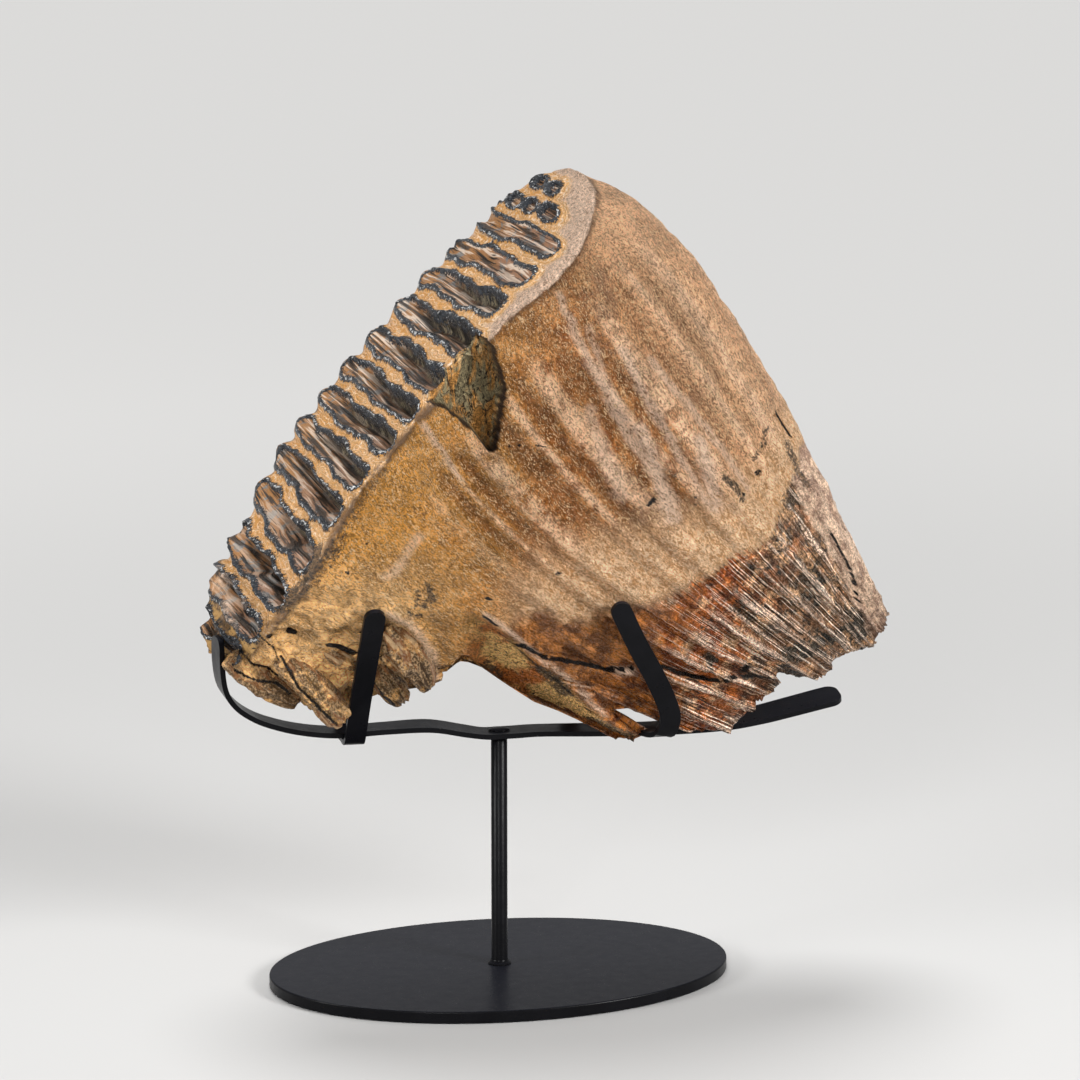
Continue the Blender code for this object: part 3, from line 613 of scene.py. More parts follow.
class FossilStageSettings(bpy.types.PropertyGroup):
    floor: colour_property("Floor", (0.82, 0.815, 0.805), "Colour of the pale floor")
    floor_near: colour_property("Floor under the stand", (0.585, 0.582, 0.576),
                                "Colour of the floor where the lamps are close")
    key_power: bpy.props.FloatProperty(name="Key light", description="Power of the key light",
                                       default=2.0, min=0.0, unit="POWER")
    sun_strength: bpy.props.FloatProperty(name="Overhead light", default=1.85, min=0.0,
                                          description="Strength of the overhead light")
    fill_power: bpy.props.FloatProperty(name="Fill light", description="Power of the fill light",
                                        default=0.85, min=0.0, unit="POWER")
    sky: bpy.props.FloatProperty(name="Surroundings", description="Brightness all round",
                                 default=0.33, min=0.0)


# ------------------------------------------------------------------ the stand
def smooth_path(points):
    """Fine points on a Catmull-Rom curve through the given ones, and their distances."""
    knots = np.asarray(points, dtype=float)
    padded = np.vstack([2 * knots[0] - knots[1], knots, 2 * knots[-1] - knots[-2]])
    fine = []
    for index in range(len(knots) - 1):
        p0, p1, p2, p3 = padded[index:index + 4]
        for u in np.linspace(0, 1, PATH_CUTS, endpoint=False):
            curve = 2 * p1 + (p2 - p0) * u
            curve = curve + (2 * p0 - 5 * p1 + 4 * p2 - p3) * u ** 2
            curve = curve + (3 * p1 - p0 - 3 * p2 + p3) * u ** 3
            fine.append(0.5 * curve)
    fine.append(knots[-1])
    fine = np.array(fine)
    steps = np.linalg.norm(np.diff(fine[:, :3], axis=0), axis=1)
    return fine, np.concatenate([[0], np.cumsum(steps)])


def path_rows(path, along):
    """Every column of a smooth path at the given distances along it."""
    fine, travelled = path
    return np.stack([np.interp(along, travelled, column) for column in fine.T], axis=1)


def path_frames(centre, along, way):
    """At each point of a path, the way made square to it, and the third direction."""
    tangent = np.gradient(centre, along, axis=0)
    tangent /= np.linalg.norm(tangent, axis=1)[:, None]
    square = np.array(way) - tangent * (tangent @ np.array(way))[:, None]
    square /= np.linalg.norm(square, axis=1)[:, None]
    return square, np.cross(tangent, square)


def cube_stations(cube, count):
    """Number of the section that each point of a gridded unit cube lies in."""
    return np.rint((cube[:, 0] + 0.5) * count).astype(int)


def sweep(centre, station, *sides):
    """Points beside a path: each side is a direction per station and its offsets."""
    points = centre[station]
    for direction, offset in sides:
        points = points + direction[station] * offset[:, None]
    return points


def strip_stations(length, step, tip_radius):
    """Distances of a strip's sections: close together where its ends are rounded."""
    turns = np.radians(np.linspace(0, 90, TIP_CUTS))
    tip = tip_radius * (1 - np.cos(turns))
    count = int(round((length - 2 * tip_radius) / step))
    body = np.linspace(tip_radius, length - tip_radius, count + 1)[1:-1]
    return np.concatenate([tip, body, length - tip[::-1]])


def bend_strip(stand, name, node, path, step, width, width_way, tip_radius):
    """A flat strip along a path in mm; a fourth column holds its turn in degrees."""
    path = smooth_path(path)
    length = path[1][-1]
    along = strip_stations(length, step, tip_radius)
    line = path_rows(path, along)
    side, normal = path_frames(line[:, :3], along, width_way)
    turn = np.radians(line[:, 3])[:, None]
    turned_side = side * np.cos(turn) + normal * np.sin(turn)
    turned_normal = normal * np.cos(turn) - side * np.sin(turn)
    short = np.clip(tip_radius - np.minimum(along, length - along), 0, tip_radius)
    widths = width - 2 * (tip_radius - np.sqrt(tip_radius ** 2 - short ** 2))
    widths = np.maximum(widths, TIP_SHARE * width)
    bm = grid_cube(len(along) - 1, 1, 1)
    cube = read_points(bm)
    station = cube_stations(cube, len(along) - 1)
    thickness = stand.strip_thickness / MM
    write_points(bm,
                 sweep(line[:, :3], station, (turned_side, cube[:, 1] * widths[station]),
                       (turned_normal, cube[:, 2] * thickness)))
    piece = finish_piece(name, bm, paint_finish(stand), node, STRIP_SMOOTH)
    add_bevel(piece, STRIP_BEVEL)


def far_side(leg, lean):
    """The leg behind the tooth: the same bends on the other side of the bar."""
    return [(2 * leg[0][0] - x if lean else x, -y, z) for x, y, z in leg]


def paint_finish(settings):
    """Satin black paint: faint unevenness, fine dust, edges that catch the light, and a painted
    sheen on upward faces.
    """
    known = bpy.data.materials.get("black_paint_satin")
    if known is not None:
        return known
    f = Finish("black_paint_satin")
    paint = tuple(settings.paint)
    bright = tuple(1.5 * part for part in paint)
    level = f.ramp(f.part(f.add("NewGeometry").outputs["Normal"], "Z"), 0.6, 0.95)
    dust = f.times(f.ramp(f.noise(f.place, 0.55, 1), 0.735, 0.79), level)
    tone = f.coats(paint, (f.noise(f.place, 14, 3), 0.35, 0.7, bright))
    # Upward faces are painted lighter and bluer, a painted reflection of the bright surroundings;
    # the speckled dust on them is dust.
    tone = f.stains(tone, (level, 0.8, (0.017, 0.018, 0.024)), (dust, 0.5, (0.2, 0.19, 0.18)))
    rough = f.ramp(f.noise(f.place, 5, 4, 0.6), 0.3, 0.75, 0.27, 0.36)
    peel = f.times(f.noise(f.place, 0.9, 2), 0.03)
    wave = f.times_plus(f.noise(f.place, 9, 1), 0.1, peel)
    return f.finished(tone, rough, 0.1, wave)


# ------------------------------------------------------------------ the tooth's form
FACE_POINTS = np.array(FACE_LINE)
FACE_STEPS = np.linalg.norm(np.diff(FACE_POINTS, axis=0), axis=1)
FACE_MARKS = np.concatenate([[0.0], np.cumsum(FACE_STEPS)])
FACE_OUT = np.array((-0.783, 0.622))
PLATE_MIDDLE = (np.array(PLATE_NEAR, dtype=float) + np.array(PLATE_FAR)) / 2


def face_place(distance):
    """Middle line of the chewing face, rounded off where its points meet."""
    fade = np.clip(np.minimum(distance, FACE_LENGTH - distance) / 8, 0, 1)
    total = 0
    for offset, weight in ((-6, 0.25), (0, 0.5), (6, 0.25)):
        at = np.clip(distance + offset * fade, 0, FACE_LENGTH)
        x = np.interp(at, FACE_MARKS, FACE_POINTS[:, 0])
        z = np.interp(at, FACE_MARKS, FACE_POINTS[:, 1])
        total = total + weight * np.stack([x, z], axis=-1)
    return total


def table_value(table, at, column):
    rows = np.array(table)
    return np.interp(at, rows[:, 0], rows[:, column])


def root_place(share):
    return np.stack([table_value(ROOT_LINE, share, 1), table_value(ROOT_LINE, share, 2)], axis=-1)


def flank_line(distance, down):
    """Point (X, Z) on the plate that leaves the face at a distance, a share down it."""
    share = distance / FACE_LENGTH
    start = face_place(distance)
    bend = start + np.stack([table_value(BEND, share, 1), table_value(BEND, share, 2)], axis=-1)
    u = down[..., None]
    swell = SHOULDER * ease(SHOULDER_FROM, 1, share)[..., None] * u * (1 - u) ** 3
    return start * (1 - u) ** 2 + 2 * bend * u * (1 - u) + root_place(share) * u ** 2 + swell


def line_length(distance):
    return np.linalg.norm(root_place(distance / FACE_LENGTH) - face_place(distance), axis=-1)


def plate_distance(number, y):
    places = np.arange(PLATE_COUNT + 1)
    near = np.interp(number, places, PLATE_NEAR)
    far = np.interp(number, places, PLATE_FAR)
    across = np.clip((y + FACE_HALF_WIDTH) / (2 * FACE_HALF_WIDTH), 0, 1)
    return near + (far - near) * across


def round_the_ends(distance, y):
    """Turn the square corners of the face into quarter ellipses; also the way in."""
    side = FACE_HALF_WIDTH - FLAT_HALF_WIDTH
    high_length = np.where(y < 0, HIGH_END_LENGTH_NEAR, HIGH_END_LENGTH_FAR)
    kept_distance = np.clip(distance, LOW_END_LENGTH, FACE_LENGTH - high_length)
    kept_y = np.clip(y, -FLAT_HALF_WIDTH, FLAT_HALF_WIDTH)
    end_length = np.where(distance < kept_distance, LOW_END_LENGTH, high_length)
    off_distance = (distance - kept_distance) / end_length
    off_y = (y - kept_y) / side
    longest = np.maximum(np.abs(off_distance), np.abs(off_y))
    size = np.maximum(np.hypot(off_distance, off_y), 1e-9)
    scale = np.where(longest > 1e-9, longest / size, 1)
    way_in = (1 - longest) * side
    return kept_distance + off_distance * scale * end_length, kept_y + off_y * scale * side, way_in


def half_width(x, z):
    low_end = np.interp(z, LOW_END_HEIGHT, LOW_END_WIDTH)
    base = np.interp(x, BASE_X, BASE_Z)
    rest = np.interp(z - base, REST_HEIGHT, REST_WIDTH)
    return low_end + (rest - low_end) * ease(LOW_END_X[0], LOW_END_X[1], x)


def root_reach(number, across):
    near = table_value(ROOT_REACH, number, 1)
    middle = table_value(ROOT_REACH, number, 2)
    far = table_value(ROOT_REACH, number, 3)
    to_near = ease(0.45, 0.8, -across)
    to_far = ease(0.45, 0.8, across)
    return middle + (near - middle) * to_near + (far - middle) * to_far


def end_drop(share, across):
    """The near edge of the face turns down towards both ends."""
    high_end = 7 * ease(0.75, 0.92, share)
    low_end = 8 * (1 - ease(0.04, 0.22, share))
    return (high_end + low_end) * np.where(across < 0, np.abs(across) ** 1.5, 0)


def loop_fields(number, distance, y):
    """Distance from the nearest enamel ridge (negative inside a loop) and, for the
    nearest loop, how far towards its high side, and its plate."""
    loops = []
    for plate, near_end in enumerate(LOOP_NEAR_END, 1):
        waver = 0.9 * np.sin(0.13 * y + 1.9 * plate) + 0.5 * np.sin(0.31 * y + 4.3 * plate)
        beside = (number - plate) * PLATE_PITCH + waver * ease(-44, -20, y)
        beyond = np.maximum(near_end + LOOP_HALF_WIDTH - y, 0)
        beyond = beyond + np.maximum(y - LOOP_FAR_END + LOOP_HALF_WIDTH, 0)
        half = LOOP_HALF_WIDTH - 0.5 * ease(10, 40, y)
        loops.append((np.hypot(beside, beyond) - half, beside, plate))
    for at, across, half_long, half_short in ISLANDS:
        reach = np.hypot((distance - at) / half_short, (y - across) / half_long)
        loops.append(((reach - 1) * half_short, 0, PLATE_COUNT - 1))
    kept = [np.full(number.shape, 99), np.zeros(number.shape), np.zeros(number.shape)]
    for loop in loops:
        closer = np.abs(loop[0]) < np.abs(kept[0])
        kept = [np.where(closer, new, old) for new, old in zip(loop, kept)]
    return kept


def tooth_grid_lines():
    """Plate numbers of the grid's lines: close together at the ridges and low end."""
    offsets = np.array((-0.5, -0.44, -0.395, -0.36, -0.325, -0.29, -0.25, -0.17, -0.06, 0.06, 0.15,
                        0.205, 0.25, 0.29, 0.325, 0.36, 0.4))
    lines = [plate + offsets for plate in range(PLATE_COUNT + 1)]
    lines.append(np.linspace(0.6, 3.3, 84))
    lines = np.sort(np.clip(np.concatenate(lines), 0, PLATE_COUNT))
    kept = [0]
    for line in lines:
        if line - kept[-1] > 0.022:
            kept.append(line)
    kept[-1] = float(PLATE_COUNT)
    return np.array(kept)


def face_relief(number, distance, y, way_in, settings):
    """Depth of the chewing face below its middle line, and the fields of its loops."""
    flat = np.stack([distance, y, 0 * y], axis=1)
    ring, beside, plate = loop_fields(number, distance, y)
    ring = ring + 0.45 * uneven(flat, 2.6, 3, 2)
    crinkle = uneven(flat, 2, 5, 2)
    ridge = np.exp(-(ring / RIDGE_HALF_WIDTH) ** 2)
    deep_share = ease(34, -8, y) * (1 - ease(11.3, 12.2, plate))
    trough = (settings.near_trough - settings.far_trough) / MM * deep_share
    trough = (settings.far_trough / MM + trough) * (1 + 0.18 * np.sin(2.7 * plate))
    slope = ease(-4.4, 2.6, beside) * (1 - ease(3.2, 4.7, beside))
    slope = np.where(plate > 11.5, ease(-3, -0.5, -np.abs(beside)), slope)
    inside = ease(0.6, -1.6, ring)
    hollow = inside * slope
    strip = 0.5 + 0.5 * uneven(flat, 5, 9, 2)
    far_share = ease(2, 34, y) * (1 - ease(12, 13, number))
    ridge_height = settings.ridge_height / MM * (1 - 0.6 * far_share)
    depth = strip * (ring > 0) * ease(1, 3, ring) - ridge_height * ridge
    depth = depth + trough * hollow - 0.45 * crinkle * ridge
    depth = depth - 1.5 * far_share * np.cos(2 * np.pi * number)
    depth = depth + 1.2 * ease(5, 0, way_in)
    wall = inside * ease(2, 3, beside) * ease(26, 0, y) * (plate < 12)
    return depth, ring, hollow * np.clip(trough / 5, 0, 1), wall


def flank_swelling(number, lowered, share, settings):
    """Swelling of the flank in mm, and its parts: flutes of the plates, root crests."""
    turn = 2 * np.pi * number
    flute_zone = ease(0.06, 0.2, lowered) * (1 - ease(0.62, 0.78, lowered))
    flute_zone = flute_zone * ease(0.35, 0.6, share)
    flute = np.cos(turn + 0.9 * np.sin(3.1 * number)) * flute_zone
    root_zone = ease(0.66, 0.82, lowered) * ease(0.16, 0.3, share)
    crest = np.cos(turn + 0.8)
    swelling = settings.flute_height / MM * flute
    swelling = swelling + (1.5 * crest + 0.5 * np.cos(2 * turn + 2)) * root_zone
    for gap in ROOT_GAPS:
        groove = np.exp(-((number - gap) / ROOT_GAP_WIDTH) ** 2)
        swelling = swelling - ROOT_GAP_DEPTH * groove * ease(0.32, 0.55, lowered)
    return swelling, flute, crest * root_zone


def tooth_surface(cube, settings):
    """Carry the points of a unit cube onto the tooth, and give its surface fields."""
    lines = tooth_grid_lines()
    plates = np.arange(PLATE_COUNT + 1)
    number = lines[cube_stations(cube, len(lines) - 1)]
    down = 0.5 - cube[:, 2]
    on_face = down < 1e-6
    across = cube[:, 1] * 2
    across = across - NEAR_ROWS * (1 - across ** 2)
    distance = np.interp(number, plates, PLATE_MIDDLE)
    distance, y, way_in = round_the_ends(distance, across * FACE_HALF_WIDTH)
    number = np.interp(distance, PLATE_MIDDLE, plates)
    distance = plate_distance(number, y)
    share = distance / FACE_LENGTH
    across = y / FACE_HALF_WIDTH
    depth, ring, hollow, wall = face_relief(number, distance, y, way_in, settings)
    depth = depth * (1 - ease(0, EDGE_FADE, down))
    ragged = uneven(np.stack([number * PLATE_PITCH, y, 0 * y], axis=1), 7.5, 21, 2)
    reach = root_reach(number, across) * (1 + 0.009 * ragged * ease(0.7, 1, down))
    lowered = down * reach + depth / line_length(distance)
    place = flank_line(distance, lowered)
    tilt = FACE_TILT * y - end_drop(share, across)
    place = place + FACE_OUT * (tilt * np.clip(1 - lowered, 0, 1) ** 2)[:, None]
    half = half_width(place[:, 0], place[:, 1])
    swelling, flute, crest = flank_swelling(number, lowered, share, settings)
    half = half + swelling * ease(0.55, 0.95, np.abs(across)) * ~on_face
    scallop = -0.9 * np.cos(2 * np.pi * number) * (1 - ease(0, 0.09, down))
    half = half + scallop * ease(0.8, 1, -across) * (1 - ease(10.5, 11.5, number))
    width_y = across * half
    valley = 1 - ease(VALLEY_FLOOR, VALLEY_MOUTH, np.abs(width_y - VALLEY_Y))
    valley = VALLEY_DEPTH * valley * (1 - ease(0.3 * VALLEY_LENGTH, VALLEY_LENGTH, share))
    points = np.stack([place[:, 0] + valley, width_y, place[:, 1]], axis=1)
    down_mm = down * reach * line_length(distance)
    fields = {"ring": np.where(on_face | (down_mm < 1.5), ring, NO_RING),
              "inside": np.where(on_face, way_in, -down_mm),
              "hollow": np.where(on_face, hollow, 0), "wall": np.where(on_face, wall, 0),
              "flute": flute, "across": across, "crest": crest}
    return points, fields, np.stack([number * PLATE_PITCH, y, down_mm], axis=1)


def read_normals(mesh):
    normals = np.zeros(len(mesh.vertices) * 3, np.float32)
    mesh.vertex_normals.foreach_get("vector", normals)
    return normals.reshape(-1, 3).astype(float)


def near_share(normals):
    """Share from 0 to 1 by which a surface faces the near side."""
    return ease(0.1, 0.5, -normals[:, 1])


def mark_fields(points, near_side):
    """Crust, dark and light marks of the near flank, from 0 to 1."""
    flat = points[:, (0, 2)]
    wander = np.stack([uneven(points, 4, seed, 2) for seed in (31, 37)], axis=1)
    marks = {}
    for field, rows in MARKS.items():
        marks[field] = np.zeros(len(points))
        for width, strength, line in rows:
            gap = line_distance(flat + wander * min(0.45 * width, 1.4), line)
            mark = strength * (1 - ease(0.45 * width, 1.5 * width, gap))
            marks[field] = np.maximum(marks[field], mark * near_side)
    return marks


def dress_stone(mesh, points, near_side, fields, grain):
    """Move the mesh to its final points, and write its marks and all other fields."""
    mesh.vertices.foreach_set("co", (points * MM).astype(np.float32).ravel())
    mesh.update()
    fields = {**fields, **mark_fields(points, near_side)}
    for name, values in (*fields.items(), ("grain", grain)):
        kind, part = ("FLOAT", "value") if values.ndim == 1 else ("FLOAT_VECTOR", "vector")
        layer = mesh.attributes.new(name, kind, "POINT")
        layer.data.foreach_set(part, np.ascontiguousarray(values, dtype=np.float32).ravel())


def root_edge(points):
    """Height above the upper edge of the bare root zone."""
    wander = 1.6 * uneven(points, 9, 41, 3)
    return (points[:, 2] - np.interp(points[:, 0], ROOT_ZONE_X, ROOT_ZONE_Z) + wander) * 0.8


def turn_under(points, near_side):
    """Raise the underside of the near flank to its line, and turn the spur under."""
    line = np.array(UNDERSIDE, dtype=float)
    low = np.interp(points[:, 0], line[:, 0], line[:, 1]) + 0.7 * uneven(points, 4, 47, 2)
    short = np.maximum(low - points[:, 2], 0) * (points[:, 0] < line[-1, 0])
    share = ease(*UNDERSIDE_NEAR, points[:, 1])
    points[:, 2] += (1 - UNDERSIDE_SQUASH) * short * share
    crest = np.array(SPUR_CREST, dtype=float)
    fall = np.interp(points[:, 0], crest[:, 0], crest[:, 1]) - points[:, 2]
    fall = np.where((points[:, 0] > crest[0, 0]) & (points[:, 0] < crest[-1, 0]), fall, 0)
    fade = ease(-26, -8, points[:, 0])
    facet = ease(0, 3, fall) * near_side * fade
    points[:, 1] += SPUR_TURN * np.clip(fall, 0, 14) * near_side * fade
    return points, facet


def roughen(points, normals, near_side, fields, grain):
    """Move the surface in and out: fibres, lumps, striae of the roots, and the marks."""
    x, z = points[:, 0], points[:, 2]
    flank = ease(0, 4, -fields["inside"])
    lumps = 0.9 * uneven(points, 22, 51, 2) + 0.45 * uneven(points, 6, 53, 2)
    fibres = 0.3 * uneven(points, 2.4, 57, 2)
    low_root = ease(-30, -62, x) * ease(168, 150, z)
    broken = 1 - 2 * np.abs(uneven(points * np.array((1, 1, 0.8)), 8, 59, 3))
    below = ease(2, -3, fields["above_root"]) * ease(-10, 25, x)
    along = np.stack([grain[:, 0] / 1.6, 0 * grain[:, 1], grain[:, 2] / 40], axis=1)
    striae = 0.8 * uneven(along, 1, 61, 2) * below
    rungs = 0.25 * np.sin(grain[:, 2] * 1.15 + 2 * uneven(points, 14, 63)) * below
    rim = uneven(points, 4, 67, 2) * ease(6, 0, np.abs(fields["inside"])) * 0.6
    move = flank * (lumps + fibres + striae + rungs - 0.9 * below + 1.7 * broken * low_root) + rim
    for width, height, line in FORMS:
        near_line = np.exp(-(line_distance(points[:, (0, 2)], line) / width) ** 2)
        move = move + height * near_line * near_side
    return points + normals * move[:, None]


def break_wedge(points):
    """Cut the broken wedge into the near edge of the face; depth inside its outline."""
    wander = np.stack([uneven(points, 5, seed, 3) for seed in (73, 79)], axis=1)
    chip = outline_depth(points[:, (0, 2)] + 0.8 * wander, CHIP_OUTLINE)
    chip = np.where(points[:, 1] < 0, chip, -9)
    x, z = points[:, 0] - CHIP_MIDDLE[0], points[:, 2] - CHIP_MIDDLE[1]
    tilt = 0.16 * x - 0.05 * (z - 5)
    split = 1.6 * np.tanh(1.2 * (x + 2 + 0.35 * z))
    floor_y = CHIP_FLOOR_Y + tilt + split + 1.5 * uneven(points, 6, 71, 3)
    lower = np.maximum(floor_y - points[:, 1], 0) * ease(0, 1.3, chip)
    points[:, 1] += lower
    return np.where(lower > 0.3, np.clip(chip, 0, 9), 0)


def build_tooth(settings, material):
    bm = grid_cube(len(tooth_grid_lines()) - 1, ROWS_ACROSS, ROWS_DOWN)
    points, fields, grain = tooth_surface(read_points(bm), settings)
    write_points(bm, points)
    mesh = finish_piece("tooth_stone", bm, material, "tooth").data
    fields["above_root"] = root_edge(points)
    normals = read_normals(mesh)
    near_side = near_share(normals)
    points = roughen(points, normals, near_side, fields, grain)
    points, fields["facet"] = turn_under(points, near_side)
    fields["chip"] = break_wedge(points)
    dress_stone(mesh, points, near_side, fields, grain)


def build_finger(name, table, material):
    """A broken root: a tapering round bar whose skin is pitted and grained."""
    path = smooth_path(table)
    length = path[1][-1]
    along = np.linspace(0, length, FINGER_SECTIONS + 1)
    line = path_rows(path, along)
    out, side = path_frames(line[:, :3], along, (0, -1, 0))
    bm = grid_cube(FINGER_SECTIONS, FINGER_ROWS, FINGER_ROWS)
    cube = read_points(bm)
    station = cube_stations(cube, FINGER_SECTIONS)
    square = cube[:, 1:] * 2
    longest = np.maximum(np.abs(square).max(axis=1), 1e-9)
    size = np.maximum(np.linalg.norm(square, axis=1), 1e-9)
    turned = square * (longest / size)[:, None]
    turned = turned + 0.35 * (square - turned)
    tip = ease(1, 0.93, along / length)[station]
    turned = turned * (0.55 + 0.45 * tip)[:, None]
    points = sweep(line[:, :3], station, (side, turned[:, 0] * line[station, 3]),
                   (out, turned[:, 1] * line[station, 4]))
    write_points(bm, points)
    mesh = finish_piece(name, bm, material, "tooth").data
    normals = read_normals(mesh)
    turn = np.arctan2(turned[:, 1], turned[:, 0])
    move = uneven(points, 7, 81, 2) + 0.4 * uneven(points, 2.2, 83, 2)
    move = move + 0.45 * np.sin(9 * turn + 3 * uneven(points, 14, 85))
    points = points + normals * move[:, None]
    zero = np.zeros(len(points))
    fields = dict.fromkeys(("hollow", "wall", "flute", "crest", "chip", "facet"), zero)
    fields.update(ring=zero + NO_RING, inside=zero - 90, across=zero - 0.8, finger=zero + 1,
                  above_root=root_edge(points))
    grain = np.stack([turn * 6, zero, along[station]], axis=1)
    dress_stone(mesh, points, near_share(normals), fields, grain)


# ------------------------------------------------------------------ the tooth's finish
# Size, detail, roughness and distortion of each noise, on the place in mm...
PLACE_NOISES = {
    "blotch": (26, 4, 0.6), "gloom": (13, 4, 0.7), "stain": (11, 4, 0.6),
    "pale": (9, 5, 0.7), "patch": (7, 4, 0.65), "glow": (3, 3, 0.6),
    "flake": (2.6, 3, 0.7, 0.5), "mottle": (1.8, 4, 0.78), "fleck": (1.3, 4, 0.75),
    "fluff": (1, 3, 0.75, 0.8), "grit": (0.9, 3, 0.7), "spark": (0.7, 1),
    "speck": (0.55, 1),
}
# ... and on the grain: along the tooth, across it and down its plates, stretched first.
GRAIN_NOISES = {
    "hair": ((0.8, 0.8, 0.34), 1, 4, 0.66, 1.8),
    "wisp": ((1.25, 1.25, 0.34), 1, 2, 0.6, 2.2),
    "streak": ((1.2, 0.25, 0.05), 1, 4, 0.7),
    "thin": ((2.1, 0.5, 0.045), 1, 2, 0.6),
    "rung": ((0.08, 0.08, 0.3), 1, 2, 0.5),
    "sweep": ((0.25, 0.25, 0.06), 1, 4, 0.6),
    "stripe": ((0.62, 0.03, 0.3), 1, 3, 0.55, 0.1),
    "vein": ((1.3, 0.035, 0.3), 1, 2, 0.5, 0.1),
    "comb": ((0.1, 1, 1), 0.75, 2),
}
TUFT_MIDDLE = 0.52


class ToothFinish(Finish):
    """Brown fibrous cement, bare glossy roots, enamel loops and dentine in one stone."""

    def __init__(self, settings):
        super().__init__("fossil_tooth_stone")
        for name in ("brown", "gold", "tan", "rust", "bone", "enamel", "dentine", "ochre",
                     "crust"):
            setattr(self, name + "_tone", tuple(getattr(settings, name)))
        for name in ("ring", "inside", "above_root", "across", "flute", "crest", "finger",
                     "facet", "hollow", "wall", "chip", CRUST, DARK, LIGHT):
            setattr(self, name, self.field(name))
        grain = self.field("grain", "Vector")
        self.x, self.z = self.part(self.place, "X"), self.part(self.place, "Z")
        self.along = self.part(grain, "X")
        for name, numbers in PLACE_NOISES.items():
            setattr(self, name, self.noise(self.place, *numbers))
        for name, (scale, *numbers) in GRAIN_NOISES.items():
            setattr(self, name, self.noise(self.stretch(grain, scale), *numbers))
        self.worn = self.where((self.x, -18, -55), (self.z, 186, 158))
        tuft = self.times_plus(self.fluff, 0.25, self.times(self.hair, 0.75))
        calm = self.times_plus(self.worn, -0.26, 1)
        self.tuft = self.times_plus(self.off_middle(tuft, TUFT_MIDDLE), calm, TUFT_MIDDLE)


def cement_tone(f):
    """Fibrous cement of the flank: golden at the low end, pinkish at the high one."""
    x, z, patch, blotch, tuft = f.x, f.z, f.patch, f.blotch, f.tuft
    low_end = f.ramp(f.times_plus(blotch, 70, x), 62, -12)
    high_end = f.ramp(f.plus(f.times(z, 0.6), x), 175, 222)
    # Flute crests are painted paler, a painted highlight; flute grooves are painted darker,
    # painted shade.
    crest = f.where((f.flute, 0.2, 0.95), (patch, 0.3, 0.6))
    groove = f.times(f.ramp(f.flute, 0, -0.9), f.times_plus(high_end, -0.38, 0.74))
    tone = f.coats(f.brown_tone, (patch, 0.38, 0.62, (0.46, 0.2, 0.062)))
    tone = f.stains(tone, (low_end, 0.8, f.gold_tone), (high_end, 0.75, f.tan_tone),
                    (f.worn, 0.6, (0.6, 0.37, 0.17)), (crest, 0.75, (0.78, 0.5, 0.32)))
    # Painted shade in the flute grooves.
    tone = f.mix(groove, tone, (0.19, 0.07, 0.02))
    tone = f.shades(tone, (tuft, 0.4, 0.6, 0.62, 1.78))
    tone = f.coats(tone, (tuft, 0.5, 0.41, (0.2, 0.072, 0.012), 0.42))
    # Painted light: the low end and the low flank are brightened out of their shade, and the high
    # end gets a faint painted highlight.
    tone = f.shades(tone, (x, -40, -75, 1, 1.6), (x, 35, 80, 1, 1.05))
    low_painted_light = f.where((z, 154, 138), (x, -30, -48, 0, 0.4))
    tone = f.shade(tone, f.plus(low_painted_light, 1))
    stain = f.times(f.ramp(f.stain, 0.5, 0.6), f.worn)
    tone = f.stains(tone, (stain, 0.5, (0.2, 0.115, 0.045)))
    tone = f.shades(tone, (blotch, 0.34, 0.64, 0.74, 1.25))
    # Cream wisps on the raised fibres: painted highlights.
    tone = f.stains(tone, (f.ramp(f.wisp, 0.57, 0.61), 0.85, (0.98, 0.68, 0.38)))
    tone = f.coats(tone, (f.speck, 0.74, 0.8, f.bone_tone, 0.7))
    # Dark band just under the face's rim: painted shade below its edge.
    under_rim = f.where((f.inside, -5.5, -0.8), (patch, 0.33, 0.55))
    return f.stains(tone, (under_rim, 0.88, (0.062, 0.026, 0.01)))


def pale_band(f, cement):
    """Pale smooth band above the bare roots."""
    edge = f.sway(f.patch, 16, f.above_root)
    band = f.where((edge, 32, 12), (f.x, -20, 15))
    tone = f.coats((0.6, 0.3, 0.115), (f.tuft, 0.41, 0.6, (1, 0.7, 0.44)))
    tone = f.shades(tone, (f.patch, 0.38, 0.6, 0.95, 1.2), (f.fluff, 0.4, 0.62, 0.86, 1.25))
    return f.stains(cement, (band, 0.85, tone))


def root_crests(f):
    """Share of the thin crests that run down the bare roots, which carry a painted highlight."""
    bent = f.times_plus(f.blotch, 9, f.times(f.along, 0.94))
    small = f.where((f.maths("COSINE", bent), 0.45, 0.95), (f.blotch, 0.44, 0.54))
    crests = f.highest(f.ramp(f.crest, 0.3, 0.9), small)
    crests = f.times(crests, f.ramp(f.streak, 0.43, 0.53))
    return f.times(crests, f.ramp(f.above_root, -3, -16, 0.55, 0.92))


